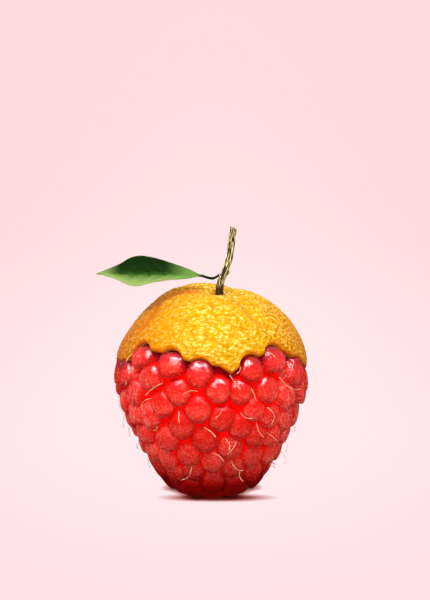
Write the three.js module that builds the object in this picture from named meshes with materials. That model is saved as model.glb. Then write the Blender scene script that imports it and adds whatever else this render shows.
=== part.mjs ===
// A raspberry that wears a cap of orange peel, with a cut twig and one leaf.
//
// Millimetres, +Z up. The origin is the middle of the flat spot that the berry stands on.
// The front faces -Y. Angles round the fruit are measured from the front towards +X.
//
// The fruit is one surface of revolution, the skin. A point of it is given by its angle and by
// its height coordinate v, which grows by arc length over radius, so that a small circle on the
// skin is a small circle in (angle, v) too. Depth is measured inwards from the skin: the crowns
// of the drupelets and the outside of the peel are at depth 0.
import * as THREE from "three";
import { mergeVertices } from "three/addons/utils/BufferGeometryUtils.js";

const DEGREE = Math.PI / 180;
const TURN = 2 * Math.PI;

// Fruit
const SIDE_OUTLINE = [[0, -1.15], [3, -1.1], [5.4, -0.4], [7.5, 1.4], [9.2, 3.9], [11, 6.9],
  [12.6, 10.3], [13.65, 13.8], [13.97, 16.6]]; // [radius, height] up to the widest belt
const DOME_RADIUS = 14;
const DOME_FOOT = 18.6; // height of the dome's widest ring
const DOME_HEIGHT = 11.35;
const DOME_FULLNESS = 2.15; // 2 is an ellipse, more is squarer
const NAVEL = { x: 1.1, y: -0.6, reach: 8, dip: 0.95, width: 2.7 }; // hollow round the twig

// Drupelets, ring by ring from under the peel to the underside: height, number in the ring, and
// how far the ring is turned, as a share of a drupelet's width, so that each ring fits its
// neighbours' gaps
const RINGS = [{ height: 19.6, count: 19, phase: 0 }, { height: 16.8, count: 19, phase: 0.5 },
  { height: 14.1, count: 19, phase: 0 }, { height: 11.45, count: 18, phase: 0 },
  { height: 8.9, count: 17, phase: 0 }, { height: 6.4, count: 15, phase: 0.4 },
  { height: 4, count: 13, phase: 0.9 }, { height: 1.7, count: 10, phase: 0.8 }];
const WAVE_SHARES = [1, 0.5, 0.2, 0, 0, 0, 0, 0]; // how much each ring follows the wave below
const RIPPLE_SHARES = [0.3, 0.6, 1, 1, 1, 1, 0.7, 0.2];
const UNDERSIDE_RING = { radius: 4.5, count: 6 };
const HIDDEN_RINGS = [{ height: 24.8, count: 14 }, { height: 27.6, count: 9 }]; // flesh in the peel
const TOP_RING_WAVE = [[-90, 17.9], [-75, 19], [-64, 19.5], [-52, 21.2], [-33, 21.8], [-14, 20.9],
  [12, 20.2], [30, 21.2], [45, 22], [58, 20.6], [72, 18.6], [90, 17.9], [122, 19.9], [148, 18.8],
  [174, 20.3], [200, 19.2], [228, 20.4], [252, 18.5]]; // [degrees, height]
const FIRST_ANGLE = -8.2 * DEGREE;
const DOME_REACH = 2.62; // from a drupelet's centre to where its dome ends
const DOME_DEPTH = 2.0; // from its crown to where its dome ends
const CROWN_SAG = 0.3; // how far a crown leans down the berry
const RIPPLE = { folds: 9, angle: 20 * DEGREE, height: 0.55 }; // staggers the drupelets of a ring
const JITTER = { angle: 0.075, height: 0.55 };
// The front's drupelets, which the rings' ones give way to, as [across, up] from the middle of the
// fruit's foot in the picture that an eye in front of the fruit has of it.
const FRONT_DRUPELETS = [[-10.5, 19.9], [-9.5, 16.9], [-13, 17.2], [-12.2, 14.4], [-6.2, 18.8],
  [-1.8, 17.3], [-5.2, 14.4], [-7.8, 12.5], [-9.7, 10.7], [-11.8, 11.1], [-4.8, 9.2], [-2.1, 11.7],
  [-7.1, 7.2], [-10.6, 8.2], [-1, 7], [-3.6, 4.8], [-7, 4.3], [-9.3, 5.7], [-5.8, 2.2], [-3, 2.5],
  [0.2, 3.7], [0.2, 0.9], [-3.2, 0.4], [1.2, 14.8], [4.6, 14.5], [6.1, 18], [9.5, 19.6], [12.7, 17.7],
  [8.7, 14.8], [11.7, 13.9], [13.7, 15.1], [6.7, 11.7], [9.2, 10.7], [11.5, 10.4], [1.7, 10.4],
  [4.6, 9.1], [7.1, 7.8], [9.5, 7.8], [11.4, 8.4], [3, 5.9], [6.5, 4.7], [9.2, 5.3], [3.6, 3.1],
  [6.7, 2.3], [3.9, 0.6]];
// The eye, the place that it looks at, and the rounds in which a point on the skin settles
const EYE = { elevation: 9 * DEGREE, distance: 244, across: 0.51, up: 28.3, rounds: 40 };
const SPACING = { drupelet: 3.1, hidden: 2 }; // from a ring's drupelet to the nearest of the front
const HIDDEN_RISE = 1.6; // how far the flesh behind a tooth is above its place in the ring
const POLE_CELL_RADIUS = 1.75;
const UNDERSIDE_MIDDLE = [0.35, 0.2, 0]; // a corner, kept off the origin, which lies in a face

// Peel
const PEEL = 1.4; // thickness
const GAP = 0.3; // between the peel and the berry
const EDGE_REACH = 2.25; // the peel's edge keeps this far from a drupelet's centre
const EDGE_RISE = 0.85; // the edge between two drupelets, above their centres
const TEETH = [12, 200.5]; // degrees: where a drupelet is missing and a tooth of peel hangs
const TOOTH = { drop: 1.1, halfWidth: 7 * DEGREE, pull: 2.4 * DEGREE, slot: 24 * DEGREE };
const LUMPS = [{ x: -5.5, y: 1.5, reach: 3.5, rise: 0.6 }, { x: -1.5, y: 4.5, reach: 4, rise: 0.75 },
  { x: 6.5, y: 1, reach: 3, rise: 0.15 }, { x: 12, y: -2, reach: 4, rise: -0.45 },
  { x: -11.5, y: -1, reach: 5, rise: -0.8 }]; // seen from above
const GROOVES = [-58, 40, 142, 236]; // degrees: soft folds that run down from the navel
const GROOVE = { depth: 0.32, width: 0.9, start: 3, end: 12 };
const PEEL_COLUMNS = 114;
const INSIDE_ROWS = [0.86, 0.6, 0.3, 0.12, 0.06, 0.02]; // shares of the way from rim to middle
const OUTSIDE_ROWS = [0.012, 0.05, 0.11, 0.19, 0.28, 0.38, 0.49, 0.6, 0.71, 0.82, 0.91, 1];
const PEEL_RIM = { rounding: 0.2, thinnest: 0.45, clearance: 0.42 }; // depths
const SOCKET = { radius: 1.0, depth: 0.85 }; // for the twig's root

// Twig and leaf
const TWIG_PATH = [[1.13, -0.6, 28.45], [1.16, -0.6, 29.1], [1.22, -0.6, 30.3], [1.42, -0.58, 31.2],
  [1.95, -0.5, 32.6], [2.4, -0.45, 33.8], [2.72, -0.4, 35], [2.88, -0.3, 36.4], [3, -0.2, 37.5],
  [3.22, -0.1, 38.95]];
const TWIG_RADII = [[0, 0.7], [0.09, 0.62], [0.2, 0.52], [0.45, 0.5], [0.7, 0.48], [1, 0.47]];
const BARK = { ridges: 0.035, swells: 0.025 };
const BUD = { at: 0.43, length: 0.035, rise: 0.28 }; // places are shares of the twig's path
const CUSHION = { at: 0.355, length: 0.05, rise: 0.12 }; // where the leaf's stalk grows
const CUT_SLANT = 0.22;
const ROOT_END = 0.06; // the bark is plain in the socket
const TWIG_SIDES = 12;
const TWIG_STEPS = 26;
const LEAF_PATH = [[0.62, -0.62, 31.72], [0.2, -0.66, 31.6], [-0.5, -0.72, 31.7], [-1.45, -0.8, 32.0],
  [-5.5, -1.0, 32.2], [-11, -1.3, 32.15], [-16.7, -1.6, 32.15]];
const BLADE_START = 0.145; // share of the leaf's path that is stalk
const STALK_RADIUS = 0.3;
const BLADE_HALF_WIDTHS = [[0, 0.3], [0.1, 0.95], [0.2, 1.6], [0.35, 2.4], [0.48, 2.9], [0.6, 3.1],
  [0.69, 2.7], [0.78, 1.75], [0.88, 0.9], [1, 0.12]]; // [share of the blade, half width]
const BLADE_SPREAD = 0.82; // how much of its width shows from above
const FAR_CLIMB = 0.78; // slope of the blade's far half
const NEAR_FALL = 0.44; // slope of its near half
const NEAR_CURL = { at: 0.33, length: 0.2, rise: 0.2 }; // the near margin turns up here
const BLADE_HALF_THICKNESS = 0.31;
const BLADE_TIP = { share: 0.4, length: 0.12 }; // thins to this share over this last stretch
const BLADE_FACES = 8; // across each face
const LEAF_STATIONS = [0, 0.035, 0.07, 0.1, 0.125, 0.15, 0.18, 0.22, 0.26, 0.31, 0.36, 0.41, 0.46,
  0.51, 0.56, 0.61, 0.66, 0.71, 0.76, 0.81, 0.86, 0.91, 0.95, 0.98, 1];

// A repeatable number from 0 to 1 for each whole number.
const chance = (seed) => THREE.MathUtils.euclideanModulo(Math.sin(seed * 12.9898) * 43758.5453, 1);
const smooth = (x) => THREE.MathUtils.smoothstep(x, 0, 1);

// A smooth curve through a table of [where, value] pairs.
function curveThrough(table) {
  const curve = new THREE.CubicInterpolant(table.map(([x]) => x), table.map(([, y]) => y), 1, [0]);
  return (x) => curve.evaluate(x)[0];
}

// ---- The skin -----------------------------------------------------------------------------

function outline() {
  const points = SIDE_OUTLINE.map(([r, z]) => new THREE.Vector2(r, z));
  for (let degrees = 0; degrees <= 90; degrees += 10) {
    const [across, up] = [Math.cos(degrees * DEGREE), Math.sin(degrees * DEGREE)]
      .map((share) => Math.abs(share) ** (2 / DOME_FULLNESS));
    points.push(new THREE.Vector2(DOME_RADIUS * across, DOME_FOOT + DOME_HEIGHT * up));
  }
  return new THREE.SplineCurve(points);
}

// Samples of the outline, each with its height coordinate v, from pole to pole.
function sampleSkin(steps = 800) {
  const curve = outline();
  curve.arcLengthDivisions = steps;
  const step = curve.getLength() / steps;
  const samples = [];
  let v = 0;
  for (let i = 1; i < steps; i++) {
    const p = curve.getPointAt(i / steps);
    const t = curve.getTangentAt(i / steps);
    const radius = Math.max(p.x, 0.05);
    v += i > 1 ? step / radius : 0;
    samples.push({ r: radius, z: p.y, along: [t.x, t.y], out: [t.y, -t.x], s: i * step, v });
  }
  return samples;
}
const skinSamples = sampleSkin();

// The skin where key reaches value: key is "v", or "z" on the fruit's side.
function skinWhere(key, value) {
  let low = 0;
  let high = skinSamples.length - 1;
  while (high - low > 1) {
    const middle = (low + high) >> 1;
    if (skinSamples[middle][key] > value) high = middle;
    else low = middle;
  }
  const [a, b] = [skinSamples[low], skinSamples[high]];
  const share = THREE.MathUtils.clamp((value - a[key]) / (b[key] - a[key]), 0, 1);
  const mix = (x, y) => x + (y - x) * share;
  return { r: mix(a.r, b.r), z: mix(a.z, b.z), s: mix(a.s, b.s), v: mix(a.v, b.v),
    along: [mix(a.along[0], b.along[0]), mix(a.along[1], b.along[1])],
    out: [mix(a.out[0], b.out[0]), mix(a.out[1], b.out[1])] };
}

// The hollow round the twig, as an extra depth at a distance from its middle.
const hollow = (r) => NAVEL.dip * Math.exp(-((r / NAVEL.width) ** 2));

// A point in space from its angle, its place on the skin, its depth and its slide down the skin.
function place(angle, at, depth, slide = 0) {
  const r = at.r - depth * at.out[0] - slide * at.along[0];
  const z = at.z - depth * at.out[1] - slide * at.along[1];
  const pull = z > DOME_FOOT ? 1 - smooth(at.r / NAVEL.reach) : 0;
  return new THREE.Vector3(r * Math.sin(angle) + pull * NAVEL.x, -r * Math.cos(angle) + pull * NAVEL.y,
    Math.max(z, 0));
}

// ---- The drupelets ------------------------------------------------------------------------

// The height of the top ring round the fruit, which the peel's edge follows.
const waveTurns = [-360, 0, 360].flatMap((turn) => TOP_RING_WAVE.map(([a, z]) => [a + turn, z]));
const waveCurve = curveThrough(waveTurns);
const wave = (angle) => waveCurve(angle / DEGREE);

function turnBetween(a, b) {
  return THREE.MathUtils.euclideanModulo(a - b + Math.PI, TURN) - Math.PI;
}

// How far the top ring's drupelets on either side of a missing one lean into its slot.
function lean(angle) {
  for (const tooth of TEETH) {
    const away = turnBetween(tooth * DEGREE, angle);
    if (Math.abs(away) < TOOTH.slot) return Math.sign(away) * TOOTH.pull;
  }
  return 0;
}

// Where the skin is that the eye sees at a place of its picture: a height gives a radius, that
// gives how near the point is, and that the height, which soon settles.
function seenOnSkin([across, up]) {
  const [sine, cosine] = [Math.sin(EYE.elevation), Math.cos(EYE.elevation)];
  const middle = EYE.up * cosine;
  let [x, y, z, near] = [across, 0, up, 0];
  for (let i = 0; i < EYE.rounds; i++) {
    const shrink = 1 - near / EYE.distance;
    x = EYE.across + (across - EYE.across) * shrink;
    y = -Math.sqrt(Math.max(skinWhere("z", z).r ** 2 - x * x, 0));
    z = (middle + (up - middle) * shrink - y * sine) / cosine;
    near = (z - EYE.up) * sine - y * cosine;
  }
  return { angle: Math.atan2(x, -y), hidden: false, ...skinWhere("z", z) };
}

// Every drupelet's centre. Those that the peel hides are marked, and are no drupelets at all.
function drupeletCentres() {
  const front = FRONT_DRUPELETS.map(seenOnSkin);
  const made = [...front];
  RINGS.forEach(({ height, count, phase }, ring) => {
    for (let i = 0; i < count; i++) {
      const seed = ring * 40 + i;
      const regular = FIRST_ANGLE + ((i + phase) * TURN) / count;
      const angle = regular + JITTER.angle * (chance(seed + 1) - 0.5) + (ring === 0 ? lean(regular) : 0);
      const ripple = RIPPLE.height * Math.cos(RIPPLE.folds * (angle - RIPPLE.angle));
      const z = height + (wave(angle) - RINGS[0].height) * WAVE_SHARES[ring]
        + ripple * RIPPLE_SHARES[ring] + JITTER.height * (chance(seed + 500) - 0.5);
      const away = TEETH.map((tooth) => Math.abs(turnBetween(regular, tooth * DEGREE)));
      const hidden = ring === 0 && Math.min(...away) < Math.PI / count;
      const at = skinWhere("z", z + (hidden ? HIDDEN_RISE : 0));
      const room = hidden ? SPACING.hidden : SPACING.drupelet;
      const near = (other) => at.r * Math.hypot(turnBetween(angle, other.angle), at.v - other.v) < room;
      if (!front.some(near)) made.push({ angle, hidden, ...at });
    }
  });
  const underside = skinSamples.find((sample) => sample.r > UNDERSIDE_RING.radius);
  for (let i = 0; i < UNDERSIDE_RING.count; i++) {
    made.push({ angle: (i * TURN) / UNDERSIDE_RING.count, hidden: false, ...underside });
  }
  HIDDEN_RINGS.forEach(({ height, count }, ring) => {
    for (let i = 0; i < count; i++) {
      made.push({ angle: ((i + ring / 2) * TURN) / count, hidden: true, ...skinWhere("z", height) });
    }
  });
  return made;
}

const centres = drupeletCentres();
const drupelets = centres.filter((c) => !c.hidden);

const domeDepth = (distance) =>
  DOME_DEPTH * (1 - Math.sqrt(1 - Math.min(distance / DOME_REACH, 1) ** 2));

// The berry's depth below the skin: a dome over each drupelet, or the flesh under the peel.
function berryDepth(angle, at) {
  // The drupelet on the underside's middle has no centre in the list.
  let nearest = at.s < UNDERSIDE_RING.radius ? at.s : Infinity;
  for (const c of drupelets) {
    const distance = at.r * Math.hypot(turnBetween(angle, c.angle), at.v - c.v);
    nearest = Math.min(nearest, distance);
  }
  const inner = PEEL + GAP + (at.z > DOME_FOOT ? hollow(at.r) : 0);
  return Math.min(inner, domeDepth(nearest));
}

// ---- The berry: each drupelet's cell in (angle, v), filled with rings round its centre ----

const LOW_V = skinSamples.find((sample) => sample.r > POLE_CELL_RADIUS).v;
const HIGH_V = skinSamples.findLast((sample) => sample.r > POLE_CELL_RADIUS).v;

// The part of a polygon on the near side of the line halfway between a centre and another.
function clip(polygon, side) {
  const kept = [];
  polygon.forEach((p, i) => {
    const q = polygon[(i + 1) % polygon.length];
    const [a, b] = [side(p), side(q)];
    if (a <= 0) kept.push(p);
    if (a < 0 !== b < 0 && a !== b) {
      const t = a / (a - b);
      kept.push([p[0] + (q[0] - p[0]) * t, p[1] + (q[1] - p[1]) * t]);
    }
  });
  return kept;
}

// The part of the skin that is nearer to a centre than to any other, as a polygon of
// [angle from the centre, v].
function cellOf(centre) {
  let cell = [[-TURN, LOW_V], [TURN, LOW_V], [TURN, HIGH_V], [-TURN, HIGH_V]];
  for (const other of centres) {
    for (const turns of [-1, 0, 1]) {
      const dx = other.angle - centre.angle + turns * TURN;
      const dy = other.v - centre.v;
      if (Math.hypot(dx, dy) < 1e-9) continue;
      const halfway = (dx * dx + dy * dy) / 2;
      cell = clip(cell, ([x, v]) => x * dx + (v - centre.v) * dy - halfway);
    }
  }
  return cell;
}

const WELD = 0.16; // corners of neighbouring cells this close are one corner
const EDGE_STEP = 1.35; // longest stretch of a cell's border without a vertex
const CELL_RINGS = [0.8, 0.45]; // where a drupelet's rings of vertices lie, from its centre
const FLESH_RINGS = [0.5]; // and where the peel hides it

// The berry's mesh: the borders of all cells first meet in shared corners, and each cell is then
// filled with smaller copies of its border, closed on the drupelet's crown.
function berryGeometry() {
  const corners = [];
  const vertices = [];
  const triangles = [];
  const borders = new Map();

  const weld = (angle, v) => {
    const at = skinWhere("v", v);
    const found = corners.find((c) => at.r * Math.hypot(turnBetween(angle, c.angle), v - c.v) < WELD);
    if (found) return found;
    const corner = { angle, v, index: corners.length };
    corners.push(corner);
    return corner;
  };
  const vertex = (angle, v) => {
    const at = skinWhere("v", v);
    const depth = berryDepth(angle, at);
    vertices.push(place(angle, at, depth, CROWN_SAG * Math.max(0, 1 - depth / DOME_DEPTH)));
    return vertices.length - 1;
  };
  // The vertices from one corner to the next, shared by the two cells that meet there.
  const border = (a, b) => {
    const [from, to] = a.index < b.index ? [a, b] : [b, a];
    const key = from.index + ":" + to.index;
    if (!borders.has(key)) {
      const turn = turnBetween(to.angle, from.angle);
      const length = skinWhere("v", (from.v + to.v) / 2).r * Math.hypot(turn, to.v - from.v);
      const parts = Math.max(1, Math.ceil(length / EDGE_STEP));
      const indices = [];
      for (let i = 0; i <= parts; i++) {
        const end = i === 0 ? from : to;
        if (i > 0 && i < parts) {
          indices.push(vertex(from.angle + (turn * i) / parts, from.v + ((to.v - from.v) * i) / parts));
        } else {
          end.vertex ??= vertex(end.angle, end.v);
          indices.push(end.vertex);
        }
      }
      borders.set(key, { indices, points: indices.map((_, i) => [from.angle + (turn * i) / parts,
        from.v + ((to.v - from.v) * i) / parts]) });
    }
    const { indices, points } = borders.get(key);
    const forwards = from === a;
    return { indices: forwards ? indices : [...indices].reverse(),
      points: forwards ? points : [...points].reverse() };
  };

  const low = []; // the cells' border round the underside's middle
  const high = []; // and round the twig's place
  for (const centre of centres) {
    const loop = cellOf(centre).map(([x, v]) => weld(centre.angle + x, v));
    const outer = [];
    loop.forEach((corner, i) => {
      const next = loop[(i + 1) % loop.length];
      if (corner === next) return;
      const { indices, points } = border(corner, next);
      for (let k = 0; k < indices.length - 1; k++) {
        outer.push({ index: indices[k], angle: points[k][0], v: points[k][1] });
        const levels = [points[k][1], points[k + 1][1]];
        if (levels.every((v) => Math.abs(v - LOW_V) < 1e-6)) low.push([indices[k + 1], indices[k]]);
        if (levels.every((v) => Math.abs(v - HIGH_V) < 1e-6)) high.push([indices[k + 1], indices[k]]);
      }
    });
    const shares = centre.hidden ? FLESH_RINGS : CELL_RINGS;
    let previous = outer.map((o) => o.index);
    for (const share of shares) {
      const ring = outer.map((o) => vertex(centre.angle + turnBetween(o.angle, centre.angle) * share,
        centre.v + (o.v - centre.v) * share));
      ring.forEach((index, i) => {
        const j = (i + 1) % ring.length;
        triangles.push([previous[i], previous[j], ring[j]], [previous[i], ring[j], index]);
      });
      previous = ring;
    }
    const middle = vertex(centre.angle, centre.v);
    previous.forEach((index, i) => triangles.push([index, previous[(i + 1) % previous.length], middle]));
  }
  closePole(low, vertices, triangles, new THREE.Vector3(...UNDERSIDE_MIDDLE));
  closePole(high, vertices, triangles, place(0, skinSamples.at(-1), PEEL + GAP + NAVEL.dip));
  return geometryOf(vertices, triangles);
}

// Closes a ring of edges with a fan to one point.
function closePole(edges, vertices, triangles, point) {
  vertices.push(point);
  edges.forEach(([a, b]) => triangles.push([a, b, vertices.length - 1]));
}

function geometryOf(vertices, triangles) {
  const geometry = new THREE.BufferGeometry().setFromPoints(vertices);
  geometry.setIndex(triangles.flat());
  const merged = mergeVertices(geometry, 1e-4);
  merged.computeVertexNormals();
  return merged;
}

// ---- The peel -----------------------------------------------------------------------------

// The height coordinate of the peel's edge at an angle: arches over the drupelets, and between
// them a line that follows the top ring and drops to a point at each tooth.
function edgeV(angle) {
  let line = wave(angle) + EDGE_RISE;
  for (const tooth of TEETH) {
    const away = Math.abs(turnBetween(angle, tooth * DEGREE)) / TOOTH.halfWidth;
    line -= TOOTH.drop * Math.max(0, 1 - away);
  }
  let edge = skinWhere("z", line).v;
  for (const c of drupelets) {
    const across = turnBetween(angle, c.angle);
    const span = EDGE_REACH / c.r;
    if (Math.abs(across) < span) edge = Math.max(edge, c.v + Math.sqrt(span ** 2 - across ** 2));
  }
  return edge;
}

// How far the outside of the peel stands above the skin: its lumps, less its folds.
function relief(angle, at) {
  const point = place(angle, at, 0);
  let rise = 0;
  for (const lump of LUMPS) {
    const away = Math.hypot(point.x - lump.x, point.y - lump.y) / lump.reach;
    rise += lump.rise * Math.exp(-away * away);
  }
  for (const groove of GROOVES) {
    const away = (at.r * turnBetween(angle, groove * DEGREE)) / GROOVE.width;
    const along = (at.r - GROOVE.start) / (GROOVE.end - GROOVE.start);
    const strength = smooth(3 * along) * smooth(2 - 2 * along);
    rise -= GROOVE.depth * strength * Math.exp(-away * away);
  }
  return rise * smooth((at.z - DOME_FOOT - 1) / 5);
}

// The peel is a grid of rows, each a loop round the fruit. The rows climb down the inside from
// the middle to the rim, and up the outside from the rim to the socket and down to its floor.
function peelGeometry() {
  const mouth = skinSamples.findLast((sample) => sample.r > SOCKET.radius).s;
  const top = skinSamples.at(-1);
  const vertices = [];
  const edge = Array.from({ length: PEEL_COLUMNS },
    (_, i) => skinWhere("v", edgeV((i * TURN) / PEEL_COLUMNS)).s);
  // A row at a share of the way from the rim to an arc length on the skin.
  const row = (share, end, depthAt) => edge.map((start, i) => {
    const angle = (i * TURN) / PEEL_COLUMNS;
    const at = skinWhere("s", start + (end - start) * share);
    return vertices.push(place(angle, at, depthAt(angle, at))) - 1;
  });
  const insideDepth = (angle, at) => Math.max(PEEL_RIM.thinnest,
    Math.min(PEEL + hollow(at.r), berryDepth(angle, at) - PEEL_RIM.clearance));
  const floorDepth = hollow(0) + SOCKET.depth;
  const grid = [
    ...INSIDE_ROWS.map((share) => row(share, top.s, insideDepth)),
    row(0, top.s, () => PEEL_RIM.rounding),
    ...OUTSIDE_ROWS.map((share) => row(share, mouth,
      (angle, at) => hollow(at.r) * smooth(2 * share) - relief(angle, at))),
    row(1, mouth, () => floorDepth),
  ];
  const triangles = [];
  for (let j = 0; j + 1 < grid.length; j++) {
    for (let i = 0; i < PEEL_COLUMNS; i++) {
      const k = (i + 1) % PEEL_COLUMNS;
      const [a, b, c, d] = [grid[j][i], grid[j][k], grid[j + 1][k], grid[j + 1][i]];
      triangles.push([a, b, c], [a, c, d]);
    }
  }
  const edges = (loop) => loop.map((index, i) => [index, loop[(i + 1) % loop.length]]);
  const backwards = edges(grid[0]).map(([a, b]) => [b, a]);
  closePole(backwards, vertices, triangles, place(0, top, PEEL + hollow(0)));
  closePole(edges(grid.at(-1)), vertices, triangles, place(0, top, floorDepth));
  return geometryOf(vertices, triangles);
}

// ---- The twig and the leaf ----------------------------------------------------------------

// A closed skin over sections of equal size. mirrored(k) picks the other diagonal.
function loft(sections, mirrored = () => false) {
  const size = sections[0].length;
  const vertices = sections.flat();
  const triangles = [];
  for (let j = 0; j + 1 < sections.length; j++) {
    for (let i = 0; i < size; i++) {
      const k = (i + 1) % size;
      const [a, b, c, d] = [j * size + i, j * size + k, (j + 1) * size + k, (j + 1) * size + i];
      if (mirrored(i)) triangles.push([a, b, d], [b, c, d]);
      else triangles.push([a, b, c], [a, c, d]);
    }
  }
  const middle = (section) => section.reduce((sum, p) => sum.add(p), new THREE.Vector3())
    .divideScalar(size);
  const rim = (start) => Array.from({ length: size }, (_, i) => [start + i, start + ((i + 1) % size)]);
  closePole(rim(0).map(([a, b]) => [b, a]), vertices, triangles, middle(sections[0]));
  closePole(rim(vertices.length - 1 - size), vertices, triangles, middle(sections.at(-1)));
  return geometryOf(vertices, triangles);
}

const vectors = (list) => list.map((p) => new THREE.Vector3(...p));

const bump = (t, { at, length, rise }) => rise * Math.exp(-(((t - at) / length) ** 2));

// A round stem with ridged bark, a bud on its right and the leaf's cushion on its left.
function twigGeometry() {
  const curve = new THREE.CatmullRomCurve3(vectors(TWIG_PATH), false, "centripetal");
  const radiusAt = curveThrough(TWIG_RADII);
  const sections = [];
  for (let j = 0; j <= TWIG_STEPS; j++) {
    const t = j / TWIG_STEPS;
    const middle = curve.getPoint(t);
    const radius = radiusAt(t);
    const section = [];
    for (let i = 0; i < TWIG_SIDES; i++) {
      const a = (i * TURN) / TWIG_SIDES;
      const bark = BARK.ridges * Math.cos(4 * a + 7 * t) + BARK.swells * Math.cos(2 * a - 23 * t);
      const bud = bump(t, BUD) * Math.max(0, Math.cos(a)) ** 3;
      const cushion = bump(t, CUSHION) * Math.max(0, -Math.cos(a));
      const r = radius + (t > ROOT_END ? bark + bud + cushion : 0);
      const slant = j === TWIG_STEPS ? -CUT_SLANT * Math.cos(a) : 0;
      section.push(middle.clone().add(new THREE.Vector3(r * Math.cos(a), r * Math.sin(a), slant)));
    }
    sections.push(section);
  }
  return loft(sections);
}

// One leaf from the foot of its stalk to its tip. Each section is a thin closed strip: the upper
// face from the near margin to the far one, and the lower face back.
function leafGeometry() {
  const curve = new THREE.CatmullRomCurve3(vectors(LEAF_PATH), false, "centripetal");
  const halfWidth = curveThrough(BLADE_HALF_WIDTHS);
  const sections = LEAF_STATIONS.map((station) => {
    const middle = curve.getPointAt(station);
    const blade = (station - BLADE_START) / (1 - BLADE_START);
    const bladeShare = smooth((station - BLADE_START + 0.03) / 0.06); // 0 on the stalk, 1 beyond it
    const width = THREE.MathUtils.lerp(STALK_RADIUS, halfWidth(Math.max(0, blade)), bladeShare);
    const section = [];
    for (let i = 0; i < 2 * BLADE_FACES; i++) {
      const q = Math.abs((2 * i) / BLADE_FACES - 2) - 1; // across: 1 at the far margin, -1 near
      const face = i < BLADE_FACES ? -1 : 1;
      const round = q * q < 1 ? Math.sqrt(1 - q * q) : 0;
      const taper = BLADE_TIP.share + (1 - BLADE_TIP.share) * smooth((1 - blade) / BLADE_TIP.length);
      const half = THREE.MathUtils.lerp(STALK_RADIUS * round,
        BLADE_HALF_THICKNESS * taper * (1 - q ** 8), bladeShare);
      const across = width * q * THREE.MathUtils.lerp(1, BLADE_SPREAD, bladeShare);
      const up = bladeRise(q, width, blade) * bladeShare + face * half;
      section.push(middle.clone().add(new THREE.Vector3(0, across, up)));
    }
    return section;
  });
  return loft(sections, (i) => i >= BLADE_FACES);
}

// How a point of the blade stands above its middle line: the far half climbs, and the near half
// falls and then turns up again at its margin.
function bladeRise(q, width, blade) {
  if (q > 0) return FAR_CLIMB * width * q;
  return width * (NEAR_FALL * q + bump(blade, NEAR_CURL) * q ** 4);
}

// ---- The object ---------------------------------------------------------------------------

function piece(name, geometry, color, roughness) {
  const mesh = new THREE.Mesh(geometry, new THREE.MeshStandardMaterial({ color, roughness, metalness: 0 }));
  mesh.name = name;
  return mesh;
}

const fruit = new THREE.Group();
fruit.add(piece("raspberry", berryGeometry(), 0xd8232a, 0.3));
fruit.add(piece("orange_peel", peelGeometry(), 0xf6a90a, 0.4));
fruit.add(piece("twig", twigGeometry(), 0x9c8a4a, 0.8));
fruit.add(piece("leaf", leafGeometry(), 0x2f7a2b, 0.4));

export default fruit;
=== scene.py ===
"""A raspberry that wears a cap of orange peel, with a cut twig and one leaf, dressed for the camera.

Shapes are worked out in millimetres, +Z up, with the front facing -Y, and become metres in the
meshes. Angles round the fruit are measured from the front towards +X.

The fruit is one surface of revolution, the skin. A point of it is given by its angle and by its
height coordinate v, which grows by arc length over radius, so that a small circle on the skin is a
small circle in (angle, v) too. Depth is measured inwards from the skin.
"""
import math
from functools import partial

import bpy
import numpy as np
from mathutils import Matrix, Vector


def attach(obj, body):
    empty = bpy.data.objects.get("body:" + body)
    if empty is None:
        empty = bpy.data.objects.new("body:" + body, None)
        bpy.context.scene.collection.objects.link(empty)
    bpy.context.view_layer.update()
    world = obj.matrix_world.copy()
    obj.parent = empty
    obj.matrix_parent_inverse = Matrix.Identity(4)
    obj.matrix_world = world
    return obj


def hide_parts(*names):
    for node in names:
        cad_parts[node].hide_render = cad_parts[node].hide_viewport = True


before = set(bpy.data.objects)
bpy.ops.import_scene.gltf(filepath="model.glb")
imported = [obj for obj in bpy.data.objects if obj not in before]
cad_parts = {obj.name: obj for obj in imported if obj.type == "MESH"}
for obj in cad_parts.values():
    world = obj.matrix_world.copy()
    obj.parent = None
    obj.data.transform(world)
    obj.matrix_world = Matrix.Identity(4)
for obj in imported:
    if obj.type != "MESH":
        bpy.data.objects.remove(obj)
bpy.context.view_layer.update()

MM = 0.001
DEGREE = math.pi / 180
TURN = 2 * math.pi

# The camera looks from the front, a little from above.
AIM = (0.51, 0.0, 28.3)
CAMERA_ELEVATION = 9 * DEGREE
CAMERA_DISTANCE = 244.0
LENS = 100.0
FILM_HEIGHT = 36.0

# ---- Sizes that the solids have too -------------------------------------------------------

SIDE_OUTLINE = [(0, -1.15), (3, -1.1), (5.4, -0.4), (7.5, 1.4), (9.2, 3.9), (11, 6.9), (12.6, 10.3),
                (13.65, 13.8), (13.97, 16.6)]  # (radius, height) up to the widest belt
DOME_RADIUS = 14
DOME_FOOT = 18.6  # height of the dome's widest ring
DOME_HEIGHT = 11.35
DOME_FULLNESS = 2.15  # 2 is an ellipse, more is squarer
NAVEL = {"x": 1.1, "y": -0.6, "reach": 8, "dip": 0.95, "width": 2.7}  # hollow round the twig

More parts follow.
